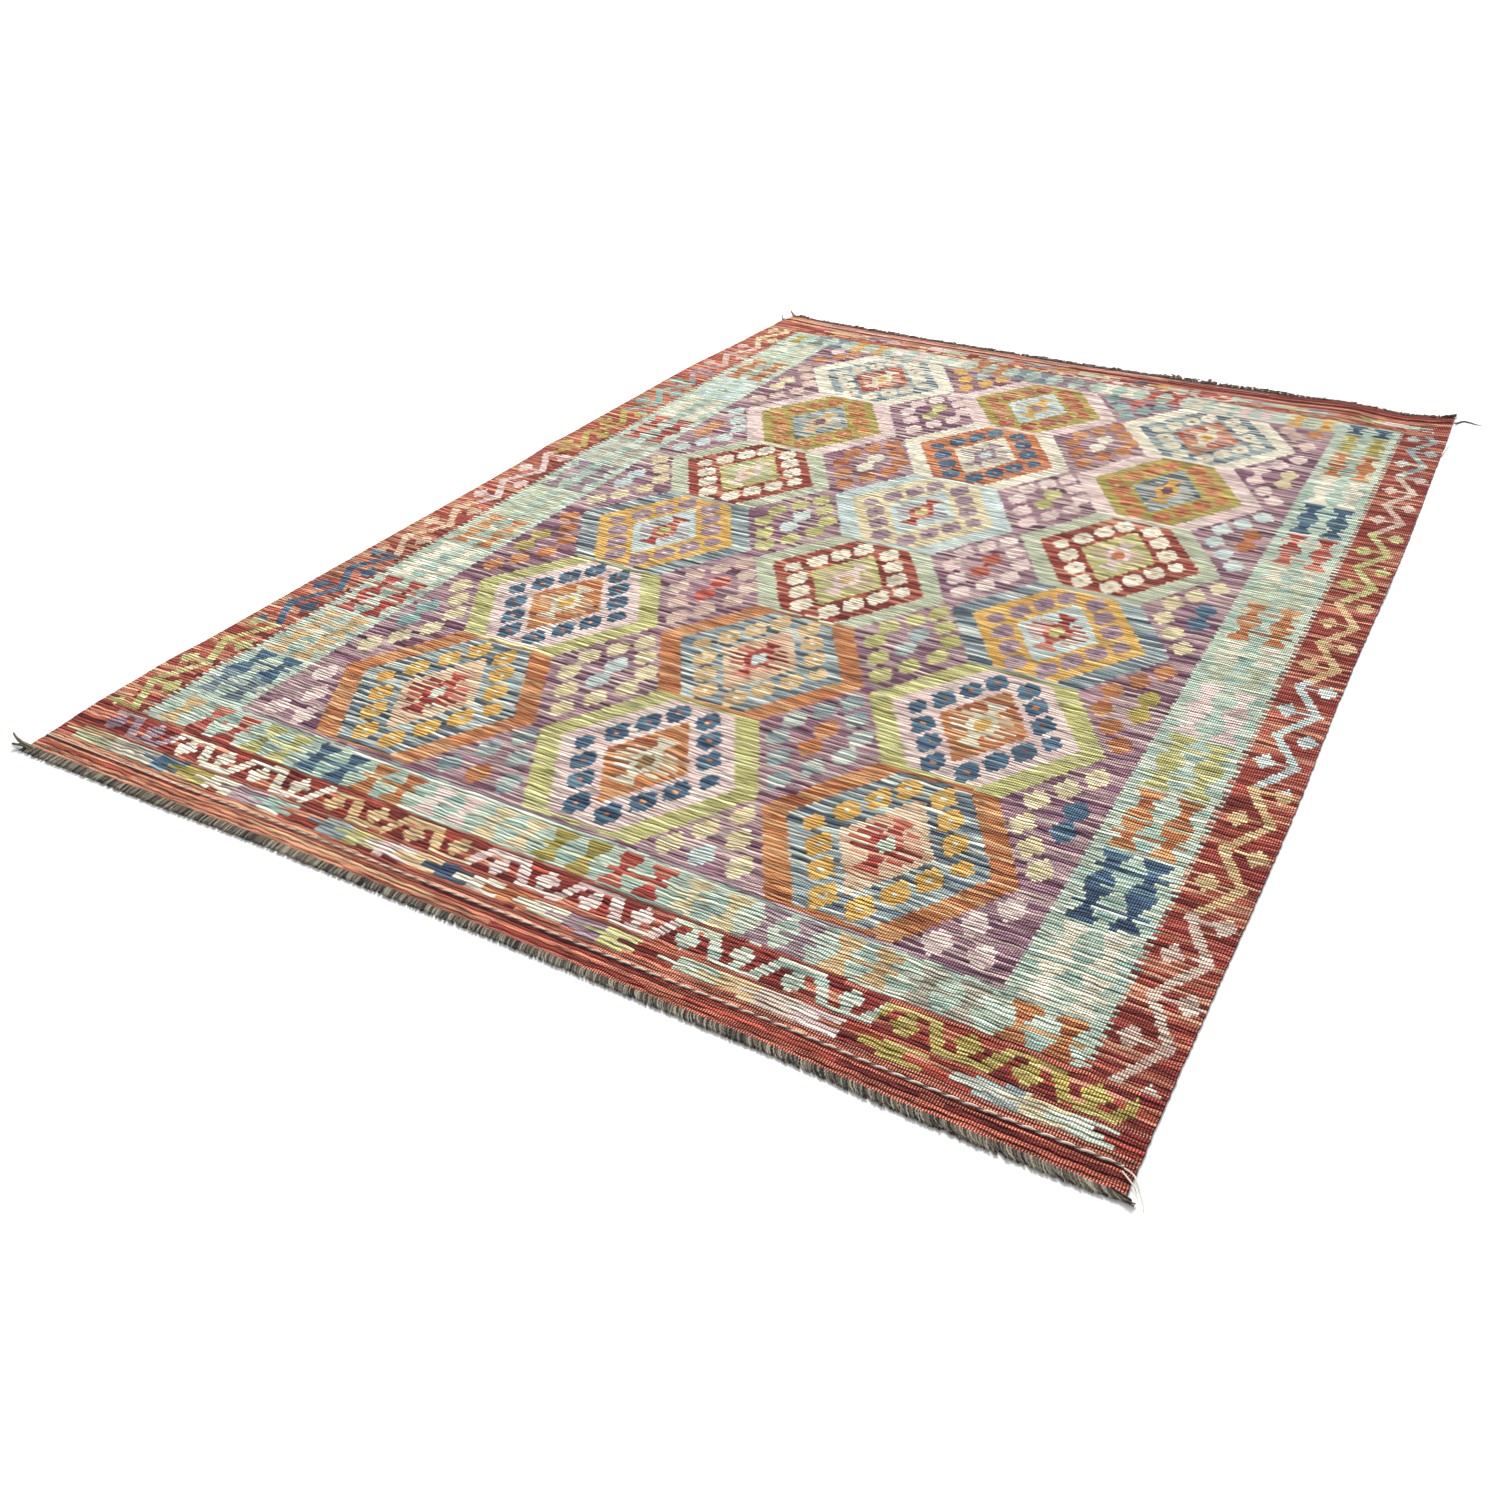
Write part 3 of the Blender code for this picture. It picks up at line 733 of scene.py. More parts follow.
# Choose a tone for each streak of each block, seldom the one just below it. The wool comes in
# small lots, so one tone is used more than the others for a hand's breadth or two.
LONGEST_STREAK, SHORTEST_CUT = 150, 60
FIRST_TONE_SHARE, LOT_SHARE, CHANGE_SHARE = 0.2, 0.3, 0.8
LOT_STREAKS, LOT_WARPS = 14, 85
lots = weaver.integers(0, MOST_TONES, (len(DYES), STREAKS // LOT_STREAKS + 1, WARPS // LOT_WARPS + 1))
tones = np.zeros((STREAKS, WARPS), int)
tone_counts = [len(dye_tones) for dye_tones in DYES.values()]
for row in range(STREAKS):
    starts = np.flatnonzero(np.diff(chart[row])) + 1
    edges = np.concatenate([[0], starts, [WARPS]])
    for start, stop in zip(edges, edges[1:]):
        while start < stop:
            end = stop
            if stop - start >= LONGEST_STREAK:
                end = start + int(weaver.integers(SHORTEST_CUT, LONGEST_STREAK))
            count = tone_counts[chart[row, start]]
            middle = (start + end) // 2
            draw = weaver.random()
            tone = int(weaver.integers(0, count))
            if draw < FIRST_TONE_SHARE:
                tone = 0
            elif draw < FIRST_TONE_SHARE + LOT_SHARE:
                tone = int(lots[chart[row, start], row // LOT_STREAKS, middle // LOT_WARPS]) % count
            below = tones[row - 1, middle] if chart[row - 1, middle] == chart[row, start] else -1
            if tone == below and weaver.random() < CHANGE_SHARE:
                tone = (tone + 1) % count
            tones[row, start:end] = tone
            start = end

# ---- The woven sheet ----------------------------------------------------------------------
# The chart becomes cloth: a grid of one cell to a warp and a streak is laid on the ripples, the
# warps that one streak covers are joined into one face, and the sheet gets its thickness.

SELVEDGE_LOOP = 0.0009
LONGEST_FACE = 9
UNDER_WARPS, UNDER_STREAKS = 8, 2


def finished_mesh(bm, name):
    """The mesh that a bmesh has become."""
    mesh = bpy.data.meshes.new(name)
    bm.to_mesh(mesh)
    bm.free()
    return mesh


bm = bmesh.new()
bmesh.ops.create_grid(bm, x_segments=WARPS, y_segments=STREAKS, size=0.5)
yarn_number = bm.faces.layers.int.new("yarn_number")
picked = bm.faces.layers.int.new("picked")
weave_map = bm.loops.layers.uv.new("weave")
for face in bm.faces:
    middle = face.calc_center_bounds()
    column = int((middle.x + 0.5) * WARPS)
    row = int((middle.y + 0.5) * STREAKS)
    face[yarn_number] = int(chart[row, column]) * MOST_TONES + int(tones[row, column])
    face[picked] = int(dotted[row, column])
    for loop in face.loops:
        corner = loop.vert.co
        loop[weave_map].uv = ((corner.x + 0.5) * WARPS, (corner.y + 0.5) * STREAKS)
grown = bmesh.ops.extrude_face_region(bm, geom=bm.faces[:])["geom"]
upper = [item for item in grown if isinstance(item, bmesh.types.BMVert)]
bmesh.ops.translate(bm, verts=upper, vec=(0, 0, 1))

# Join the faces that one streak of weft covers; the hidden underside is joined more
joined = []
for edge in bm.edges:
    start, stop = edge.verts[0].co, edge.verts[1].co
    one, other = edge.link_faces
    if start.z != stop.z or one[yarn_number] != other[yarn_number] and start.z > 0.5:
        continue
    warp_line = round((start.x + 0.5) * WARPS)
    streak_line = round((start.y + 0.5) * STREAKS)
    upright = abs(start.x - stop.x) < 1e-6
    level = abs(one.calc_center_bounds().z - other.calc_center_bounds().z) < 0.1
    if level and upright and start.z > 0.5 and warp_line % LONGEST_FACE:
        joined.append(edge)
    between_patches = warp_line % UNDER_WARPS == 0 if upright else streak_line % UNDER_STREAKS == 0
    if level and start.z < 0.5 and not between_patches:
        joined.append(edge)
grid = np.array([vert.co for vert in bm.verts])
across = grid[:, 0] + 0.5
streak_of = np.rint((grid[:, 1] + 0.5) * STREAKS).astype(int)
along = streak_lines[streak_of]
along = along + wander(across, along)
flat_x, flat_y = place(across, along)
loops = weaver.uniform(-SELVEDGE_LOOP, SELVEDGE_LOOP, STREAKS + 1)[streak_of]
flat_x = flat_x + np.where(across < 0.001, loops, 0) + np.where(across > 0.999, loops, 0)
flat_z = lift(flat_x, flat_y) + grid[:, 2] * THICKNESS
for number, vert in enumerate(bm.verts):
    vert.co = (flat_x[number], flat_y[number], flat_z[number])
bmesh.ops.dissolve_edges(bm, edges=joined, use_verts=True)
bmesh.ops.recalc_face_normals(bm, faces=bm.faces[:])


def weaving_order(face):
    """A number that grows along the rug, then across it, then upwards."""
    middle = face.calc_center_bounds()
    return 1e6 * middle.y + 1e3 * middle.x + middle.z


# The extrusion makes the walls round the edge in a chance order, and this gives them a fixed one
bm.faces.sort(key=weaving_order)
cloth_mesh = finished_mesh(bm, "kilim")
cloth_mesh.shade_smooth()
cloth_mesh.set_sharp_from_angle(angle=math.radians(40))


def linear(tone):
    """A tone as the eye sees it, 0 to 255, as light."""
    share = np.asarray(tone, float) / 255
    return np.where(share <= 0.04045, share / 12.92, ((share + 0.055) / 1.055) ** 2.4)


dye_card = np.ones((len(DYES) * MOST_TONES, 4))
pick_card = np.ones((len(DYES) * MOST_TONES, 4))
for number, dye_tones in enumerate(DYES.values()):
    for tone in range(MOST_TONES):
        dye_card[number * MOST_TONES + tone, :3] = linear(dye_tones[tone % len(dye_tones)])
        by_light = sorted(dye_tones, key=sum)
        pale_first = sum(dye_tones[tone % len(dye_tones)]) > sum(dye_tones[0])
        pick_card[number * MOST_TONES + tone, :3] = linear(by_light[0 if pale_first else -2])
numbers = np.zeros(len(cloth_mesh.polygons), int)
cloth_mesh.attributes["yarn_number"].data.foreach_get("value", numbers)
for name, card in (("yarn", dye_card), ("second_yarn", pick_card)):
    attribute = cloth_mesh.attributes.new(name, "FLOAT_COLOR", "FACE")
    attribute.data.foreach_set("color", card[numbers].ravel())
cloth = put_in_scene("kilim", cloth_mesh)

# ---- The wool -----------------------------------------------------------------------------
# Matt wool with a faint fuzz. Weft covers the warps, so the cloth shows rows of small beads, one
# over each warp, and every streak stands as a low ridge. The colour carries painted light: bead
# tops lighter as a painted highlight, and painted shade between beads and warps, in the furrows
# and in the creases.


def wire(tree, source, target):
    """Join an output to an input."""
    tree.links.new(source, target)


def math_node(tree, operation, first, second=None, third=None):
    """A Math node on sockets or numbers; returns its value."""
    node = tree.nodes.new("ShaderNodeMath")
    node.operation = operation
    for socket, value in zip(node.inputs, (first, second, third)):
        if isinstance(value, (int, float)):
            socket.default_value = value
        elif value is not None:
            wire(tree, value, socket)
    return node.outputs[0]


def blend_colours(tree, factor, first, second):
    """A Mix node on colours; returns its colour."""
    node = tree.nodes.new("ShaderNodeMix")
    node.data_type = "RGBA"
    for socket, value in ((node.inputs[0], factor), (node.inputs[6], first), (node.inputs[7], second)):
        if isinstance(value, (int, float, tuple)):
            socket.default_value = value
        else:
            wire(tree, value, socket)
    return node.outputs[2]


def fibre_group():
    """Fuzz of wool fibres: a colour made uneven, and a fine height."""
    group = bpy.data.node_groups.new("wool_fibre", "ShaderNodeTree")
    group.interface.new_socket("Color", in_out="INPUT", socket_type="NodeSocketColor")
    group.interface.new_socket("Unevenness", in_out="INPUT", socket_type="NodeSocketFloat")
    group.interface.new_socket("Color", in_out="OUTPUT", socket_type="NodeSocketColor")
    group.interface.new_socket("Height", in_out="OUTPUT", socket_type="NodeSocketFloat")
    given = group.nodes.new("NodeGroupInput")
    result = group.nodes.new("NodeGroupOutput")
    coordinates = group.nodes.new("ShaderNodeTexCoord")
    fuzz = group.nodes.new("ShaderNodeTexNoise")
    fuzz.inputs["Scale"].default_value = 900.0
    fuzz.inputs["Detail"].default_value = 2.0
    cloud = group.nodes.new("ShaderNodeTexNoise")
    cloud.inputs["Scale"].default_value = 9.0
    cloud.inputs["Detail"].default_value = 3.0
    wire(group, coordinates.outputs["Object"], fuzz.inputs["Vector"])
    wire(group, coordinates.outputs["Object"], cloud.inputs["Vector"])
    both = math_node(group, "MULTIPLY_ADD", cloud.outputs["Fac"], 0.5, fuzz.outputs["Fac"])
    swing = math_node(group, "SUBTRACT", both, 0.75)
    value = math_node(group, "MULTIPLY_ADD", swing, given.outputs["Unevenness"], 1.0)
    shade = group.nodes.new("ShaderNodeHueSaturation")
    wire(group, given.outputs["Color"], shade.inputs["Color"])
    wire(group, value, shade.inputs["Value"])
    wire(group, shade.outputs["Color"], result.inputs["Color"])
    wire(group, fuzz.outputs["Fac"], result.inputs["Height"])
    return group


wool_fibre = fibre_group()


WOOL_ROUGHNESS, WOOL_SHEEN = 0.9, 0.04


def wool_shader(name):
    """A material with a plain wool shader; returns it with its tree and shader."""
    material = bpy.data.materials.new(name)
    material.use_nodes = True
    shader = material.node_tree.nodes["Principled BSDF"]
    shader.inputs["Roughness"].default_value = WOOL_ROUGHNESS
    shader.inputs["Specular IOR Level"].default_value = 0.1
    shader.inputs["Sheen Weight"].default_value = WOOL_SHEEN
    shader.inputs["Sheen Roughness"].default_value = 0.6
    return material, material.node_tree, shader


def noise_on(tree, coordinates, stretch, detail=2.0, offset=0.0):
    """Noise on stretched coordinates; returns its value."""
    mapping = tree.nodes.new("ShaderNodeMapping")
    mapping.inputs["Scale"].default_value = stretch
    mapping.inputs["Location"].default_value = (offset, offset, 0)
    wire(tree, coordinates, mapping.inputs["Vector"])
    noise = tree.nodes.new("ShaderNodeTexNoise")
    noise.inputs["Scale"].default_value = 1.0
    noise.inputs["Detail"].default_value = detail
    wire(tree, mapping.outputs["Vector"], noise.inputs["Vector"])
    return noise.outputs["Fac"]


def between(tree, value, low, high, to_low=0.0, to_high=1.0):
    """A value brought from one range to another and kept in it."""
    node = tree.nodes.new("ShaderNodeMapRange")
    node.inputs["From Min"].default_value = low
    node.inputs["From Max"].default_value = high
    node.inputs["To Min"].default_value = to_low
    node.inputs["To Max"].default_value = to_high
    wire(tree, value, node.inputs["Value"])
    return node.outputs["Result"]


def carried(tree, name):
    """What the mesh carries on each face under a name."""
    node = tree.nodes.new("ShaderNodeAttribute")
    node.attribute_name = name
    return node


def fibres_on(tree, colour, unevenness):
    """The fuzz of wool fibres on a colour."""
    fibre = tree.nodes.new("ShaderNodeGroup")
    fibre.node_tree = wool_fibre
    fibre.inputs["Unevenness"].default_value = unevenness
    wire(tree, colour, fibre.inputs["Color"])
    return fibre


def raise_surface(tree, shader, height, strength, distance):
    """Raise a shader's surface by a height."""
    bump = tree.nodes.new("ShaderNodeBump")
    bump.inputs["Strength"].default_value = strength
    bump.inputs["Distance"].default_value = distance
    wire(tree, height, bump.inputs["Height"])
    wire(tree, bump.outputs["Normal"], shader.inputs["Normal"])


# Each streak is drawn as a few passes of weft, in a dye thinned by a little undyed wool
PASSES = 3.0
UNDYED = (196, 176, 154)
UNDYED_SHARE = 0.03
weave_wool, tree, shader = wool_shader("kilim_wool")
uv = tree.nodes.new("ShaderNodeUVMap")
uv.uv_map = "weave"
on_weave = uv.outputs["UV"]
split = tree.nodes.new("ShaderNodeSeparateXYZ")
wire(tree, on_weave, split.inputs[0])
warp, streak = split.outputs["X"], split.outputs["Y"]
passing = math_node(tree, "MULTIPLY", streak, PASSES)
rib = math_node(tree, "ABSOLUTE", math_node(tree, "SINE", math_node(tree, "MULTIPLY", warp, math.pi)))
rib = math_node(tree, "POWER", rib, 0.6)
turn = math_node(tree, "ADD", math_node(tree, "FLOOR", warp), math_node(tree, "FLOOR", passing))
over_warp = math_node(tree, "MODULO", turn, 2.0)
bead = math_node(tree, "SINE", math_node(tree, "MULTIPLY", passing, math.pi))
bead = math_node(tree, "ABSOLUTE", bead)
bead = math_node(tree, "MULTIPLY", bead, math_node(tree, "MULTIPLY_ADD", over_warp, 0.5, 0.5))
bead = math_node(tree, "MULTIPLY", bead, rib)

# The furrow between two streaks, deeper in some places than in others; it is pressed in as a bump and
# painted darker as shade
stray = between(tree, noise_on(tree, on_weave, (0.14, 0.6, 1)), 0.3, 0.7, -0.26, 0.26)
from_middle = math_node(tree, "FRACT", math_node(tree, "ADD", streak, stray))
from_middle = math_node(tree, "SUBTRACT", from_middle, 0.5)
from_middle = math_node(tree, "MULTIPLY", math_node(tree, "ABSOLUTE", from_middle), 2.0)
shaded_furrow = between(tree, from_middle, 0.42, 0.95)
shaded_furrow = math_node(tree, "POWER", shaded_furrow, 1.4)
deep = between(tree, noise_on(tree, on_weave, (0.07, 0.9, 1), 3.0, 40.0), 0.4, 0.58, 0.3, 1.0)
shaded_furrow = math_node(tree, "MULTIPLY", shaded_furrow, deep)
ridge = math_node(tree, "SUBTRACT", 1.0, math_node(tree, "POWER", from_middle, 2.5))

# Thick and thin places of the yarn, lots of lighter and darker wool, and thin wandering creases
# that are pressed in as a bump and painted darker as shade
slub = noise_on(tree, on_weave, (0.06, 2.3, 1.0), 3.0, 7.0)
batch = noise_on(tree, on_weave, (0.028, 1.35, 1.0), 1.0, 23.0)
batch = between(tree, batch, 0.34, 0.66, 0.6, 1.36)
shaded_crease = math_node(tree, "SUBTRACT", noise_on(tree, on_weave, (0.04, 1.0, 1.0), 1.0, 61.0), 0.5)
shaded_crease = between(tree, math_node(tree, "ABSOLUTE", shaded_crease), 0.0, 0.07, 1.0, 0.0)
lightness = tree.nodes.new("ShaderNodeRGBToBW")
liveliness = between(tree, lightness.outputs[0], 0.12, 0.62, 1.15, 0.4)
batch = math_node(tree, "MULTIPLY_ADD", math_node(tree, "SUBTRACT", batch, 1.0), liveliness, 1.0)
buckle = noise_on(tree, on_weave, (0.07, 0.12, 1.0), 1.0, 15.0)

# The dye of each face; in a picked row a second yarn shows beside every warp
other_warp = math_node(tree, "LESS_THAN", math_node(tree, "FRACT", warp), 0.45)
chosen = math_node(tree, "MULTIPLY", other_warp, carried(tree, "picked").outputs["Fac"])
yarn, second_yarn = carried(tree, "yarn"), carried(tree, "second_yarn")
base = blend_colours(tree, chosen, yarn.outputs["Color"], second_yarn.outputs["Color"])
base = blend_colours(tree, UNDYED_SHARE, base, (*linear(UNDYED), 1.0))
wire(tree, base, lightness.inputs["Color"])
fibre = fibres_on(tree, base, 0.5)
# Painted highlight on the bead and rib tops, painted shade in the hollows between them, in the furrows
# and in the creases; slubs and lots of wool change the tone
depth = math_node(tree, "MULTIPLY_ADD", bead, 1.45, 0.46)
depth = math_node(tree, "MULTIPLY", depth, math_node(tree, "MULTIPLY_ADD", rib, 1.3, 0.03))
depth = math_node(tree, "MULTIPLY_ADD", math_node(tree, "SUBTRACT", depth, 1.0), liveliness, 1.0)
depth = math_node(tree, "MULTIPLY", depth, math_node(tree, "MULTIPLY_ADD", shaded_crease, -0.6, 1.08))
depth = math_node(tree, "MULTIPLY", depth, math_node(tree, "MULTIPLY_ADD", shaded_furrow, -0.95, 1.12))
depth = math_node(tree, "MULTIPLY", depth, math_node(tree, "MULTIPLY_ADD", slub, 1.9, 0.12))
depth = math_node(tree, "MULTIPLY", depth, batch)
depth = math_node(tree, "MULTIPLY", depth, 1.2)
dye_with_painted_light = tree.nodes.new("ShaderNodeHueSaturation")
wire(tree, fibre.outputs["Color"], dye_with_painted_light.inputs["Color"])
wire(tree, depth, dye_with_painted_light.inputs["Value"])
wire(tree, dye_with_painted_light.outputs["Color"], shader.inputs["Base Color"])
height = math_node(tree, "MULTIPLY_ADD", bead, 0.2, math_node(tree, "MULTIPLY", ridge, 0.65))
height = math_node(tree, "MULTIPLY_ADD", rib, 0.2, height)
height = math_node(tree, "MULTIPLY_ADD", shaded_furrow, -0.3, height)
height = math_node(tree, "MULTIPLY_ADD", shaded_crease, -0.3, height)
height = math_node(tree, "MULTIPLY_ADD", fibre.outputs["Height"], 0.07, height)
height = math_node(tree, "MULTIPLY_ADD", buckle, 1.6, height)
raise_surface(tree, shader, height, 1.0, 0.0042)
cloth_mesh.materials.append(weave_wool)

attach(cloth, "root")
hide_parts("kilim_cloth")

# ---- The fringes --------------------------------------------------------------------------
# The grey warps are cut about 2 cm past the last weft at both ends and left as twisted strands.
# The near ones lie on the floor and lean to the right; the far ones curl up in bunches.

STRANDS = 1000
STRAND_RINGS = 8
YARN_SIDES = 6
# The near strands take these greys at random: their own tones, and the painted highlight and painted
# shade of their twist
GREYS_AND_TWIST_SHADE = [(118, 112, 100), (80, 76, 70), (146, 140, 124), (54, 50, 48), (104, 96, 82), (168, 160, 142)]
FAR_GREYS = [(98, 90, 80), (72, 66, 62), (118, 108, 94), (56, 52, 50), (112, 84, 74)]
spinner = np.random.default_rng(11)

# How long the strands are and how many degrees they lean to the right, at shares of the way across
LockRow = namedtuple("LockRow", "share length lean")
NEAR_LOCKS = [
    LockRow(0.00, 0.022, 8),
    LockRow(0.15, 0.021, 6),
    LockRow(0.34, 0.019, 10),
    LockRow(0.50, 0.0175, 20),
    LockRow(0.72, 0.0185, 32),
    LockRow(0.95, 0.022, 42),
    LockRow(1.00, 0.018, 56),
]
FAR_LOCKS = [
    LockRow(0.00, 0.016, -6),
    LockRow(0.12, 0.018, -4),
    LockRow(0.18, 0.026, -6),
    LockRow(0.26, 0.018, -4),
    LockRow(0.45, 0.022, -4),
    LockRow(0.58, 0.026, -4),
    LockRow(0.66, 0.034, -5),
    LockRow(0.75, 0.030, -4),
    LockRow(0.84, 0.018, -3),
    LockRow(0.93, 0.018, 2),
    LockRow(1.00, 0.020, 8),
]

# Bunches that stand out at the corners: root, middle and tip on the floor, and the strands in each
Tuft = namedtuple("Tuft", "root middle tip rise strands")
NEAR_TUFTS = [
    Tuft((-1.010, -1.478), (-1.042, -1.481), (-1.071, -1.468), 0.007, 9),
    Tuft((-1.024, -1.479), (-1.040, -1.482), (-1.048, -1.489), 0.004, 4),
    Tuft((1.010, -1.485), (1.022, -1.490), (1.032, -1.491), 0.003, 7),
]
FAR_TUFTS = [
    Tuft((-0.998, 1.462), (-1.024, 1.474), (-1.042, 1.500), 0.006, 16),
    Tuft((1.006, 1.466), (1.018, 1.478), (1.029, 1.486), 0.003, 8),
]


def straight_yarn(name, rings):
    """A mesh of one straight closed yarn, 1 long and 1 in half width, cut into rings."""
    bm = bmesh.new()
    standing = Matrix.Translation((0, 0, 0.5))
    bmesh.ops.create_cone(
        bm, cap_ends=True, segments=YARN_SIDES, radius1=1, radius2=1, depth=1, matrix=standing
    )
    long_edges = [edge for edge in bm.edges if abs(edge.verts[0].co.z - edge.verts[1].co.z) > 0.5]
    bmesh.ops.subdivide_edges(bm, edges=long_edges, cuts=rings - 1, use_grid_fill=True)
    bmesh.ops.recalc_face_normals(bm, faces=bm.faces[:])
    return finished_mesh(bm, name)


def row_of_strands(name, rings, count):
    """A mesh of many equal strands, made by an array; strand n stands at x = 4 n."""
    holder = put_in_scene(name, straight_yarn(name, rings))
    array = holder.modifiers.new("strands", "ARRAY")
    array.count = count
    array.use_relative_offset = False
    array.use_constant_offset = True
    array.constant_offset_displace = (4, 0, 0)
    depsgraph = bpy.context.evaluated_depsgraph_get()
    mesh = bpy.data.meshes.new_from_object(holder.evaluated_get(depsgraph))
    bpy.data.objects.remove(holder)
    mesh.name = name
    return mesh


def bend_yarns(mesh, routes, half_width, oval=1.0, twist=0.0):
    """Bend the yarns of a mesh along their routes, each a line of points from end to end."""
    count, rings = routes.shape[0], routes.shape[1] - 1
    points = np.empty(len(mesh.vertices) * 3)
    mesh.vertices.foreach_get("co", points)
    points = points.reshape(count, -1, 3)
    ring = np.rint(points[:, :, 2] * rings).astype(int)
    number = np.arange(count)[:, None]
    heading = np.gradient(routes, axis=1)
    heading /= np.linalg.norm(heading, axis=2, keepdims=True)
    aside = np.stack([-heading[:, :, 1], heading[:, :, 0], heading[:, :, 0] * 0], axis=2)
    aside /= np.linalg.norm(aside, axis=2, keepdims=True) + 1e-9
    over = np.cross(heading, aside)
    turn = twist * ring
    wide, tall = points[:, :, 0] - 4 * number, points[:, :, 1] * oval
    east = (wide * np.cos(turn) - tall * np.sin(turn))[:, :, None]
    north = (wide * np.sin(turn) + tall * np.cos(turn))[:, :, None]
    thick = np.broadcast_to(half_width, (count, rings + 1))[number, ring][:, :, None]
    bent = routes[number, ring] + (aside[number, ring] * east + over[number, ring] * north) * thick
    mesh.vertices.foreach_set("co", bent.ravel())
    mesh.shade_smooth()


def strand_tones(mesh, count, tones):
    """Give every strand of a row its own tone."""
    faces = len(mesh.polygons) // count
    colours = np.ones((count, faces, 4))
    colours[:, :, :3] = linear(tones)[:, None, :]
    attribute = mesh.attributes.new("yarn", "FLOAT_COLOR", "FACE")
    attribute.data.foreach_set("color", colours.ravel())


def yarn_material(name):
    """Plain wool yarn in the tone that its piece carries."""
    material, tree, shader = wool_shader(name)
    fibre = fibres_on(tree, carried(tree, "yarn").outputs["Color"], 1.3)
    wire(tree, fibre.outputs["Color"], shader.inputs["Base Color"])
    raise_surface(tree, shader, fibre.outputs["Height"], 0.5, 0.0006)
    return material


yarn_wool = yarn_material("yarn_wool")


def clumps(count, size):
    """A value for each strand that neighbours in a bunch share."""
    bunch = np.cumsum(spinner.random(count) < 1 / size)
    return spinner.uniform(-1, 1, bunch.max() + 1)[bunch]


def loose_strands(rows, end, rise, curl, wild):
    """The routes of one end's strands; rise and curl are their tilts at the root and the tip.

    wild is how uneven they are, 1 for a combed fringe.
    """
    share = (np.arange(STRANDS) + 0.5 + spinner.uniform(-0.3, 0.3, STRANDS)) / STRANDS
    share = np.clip(share, 0.001, 0.999)
    root_x, root_y = place(share, np.full(STRANDS, float(end)))
    outward = 1 if end else -1
    uneven = 0.04 * clumps(STRANDS, 6) + 0.07 * spinner.uniform(-1, 1, STRANDS)
    length = eased(rows, share, "length") * (1 + wild * uneven)
    askew = 0.06 * clumps(STRANDS, 5) + 0.16 * spinner.uniform(-1, 1, STRANDS)
    lean = np.radians(eased(rows, share, "lean")) + wild * askew
    along = np.linspace(0, 1, STRAND_RINGS + 1)[None, :]
    tilt = rise[:, None] + (curl - rise)[:, None] * along
    step = (length / STRAND_RINGS)[:, None]
    reach = np.cumsum(np.cos(tilt) * step, axis=1) - np.cos(tilt[:, :1]) * step
    climb = np.cumsum(np.sin(tilt) * step, axis=1) - np.sin(tilt[:, :1]) * step
    bend = 0.35 + 0.65 * along
    turn = lean[:, None] * bend + 0.16 * wild * spinner.uniform(-1, 1, STRANDS)[:, None] * along
    x = root_x[:, None] + reach * np.sin(turn)
    y = root_y[:, None] + outward * (reach * np.cos(turn) - 0.002)
    z = lift(root_x, root_y)[:, None] + THICKNESS * 0.5 + climb
    floor_gap = 0.0024 + 0.0016 * spinner.random(STRANDS)[:, None]
    return np.stack([x, y, np.maximum(z, floor_gap)], axis=2)


def tuft_strands(tufts):
    """The routes of the strands in the corner bunches, each a soft arc."""
    along = np.linspace(0, 1, STRAND_RINGS + 1)[:, None]
    routes = []
    for tuft in tufts:
        root, middle, tip = (np.array([*spot, 0.0]) for spot in (tuft.root, tuft.middle, tuft.tip))
        for number in range(tuft.strands):
            shift = np.array([*spinner.uniform(-0.0022, 0.0022, 2), 0.0])
            arc = root * (1 - along) ** 2 + middle * 2 * along * (1 - along) + tip * along ** 2
            arc = arc + shift * (2.2 - 1.8 * along)
            arc[:, 2] = 0.0035 + 0.0035 * spinner.random() + tuft.rise * along[:, 0]
            routes.append(arc)
    return np.array(routes)


def make_fringe(name, routes, greys):
    """The strands of one end and its corner bunches as a piece."""
    count = len(routes)
    half_width = np.full((count, STRAND_RINGS + 1), 0.0018)
    half_width[:, 0] = 0.0014
    half_width[:, -1] = 0.0015
    mesh = row_of_strands(name, STRAND_RINGS, count)
    bend_yarns(mesh, routes, half_width, 0.62, 1.2)
    strand_tones(mesh, count, np.array(greys)[spinner.integers(0, len(greys), count)])
    mesh.materials.append(yarn_wool)
    return put_in_scene(name, mesh)


level = np.radians(14 + 8 * clumps(STRANDS, 3))
drooping = np.radians(-16 + 8 * clumps(STRANDS, 4))
near_routes = loose_strands(NEAR_LOCKS, 0, level, drooping, 0.8)
near_fringe = make_fringe("near_fringe", np.concatenate([near_routes, tuft_strands(NEAR_TUFTS)]), GREYS_AND_TWIST_SHADE)
standing = np.radians(48 + 22 * clumps(STRANDS, 6))
curling = np.radians(-60 + 30 * clumps(STRANDS, 3))
far_routes = loose_strands(FAR_LOCKS, 1, standing, curling, 2.6)
far_fringe = make_fringe("far_fringe", np.concatenate([far_routes, tuft_strands(FAR_TUFTS)]), FAR_GREYS)
for piece, node in ((near_fringe, "fringe_near"), (far_fringe, "fringe_far")):
    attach(piece, "root")
    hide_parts(node)

# ---- The twined cords and loose ends ------------------------------------------------------
# One row of twining holds each end band: a cream yarn and a dark one wound round each other on
# the face of the cloth. Their ends, and a few carried wefts, hang loose at the corners.

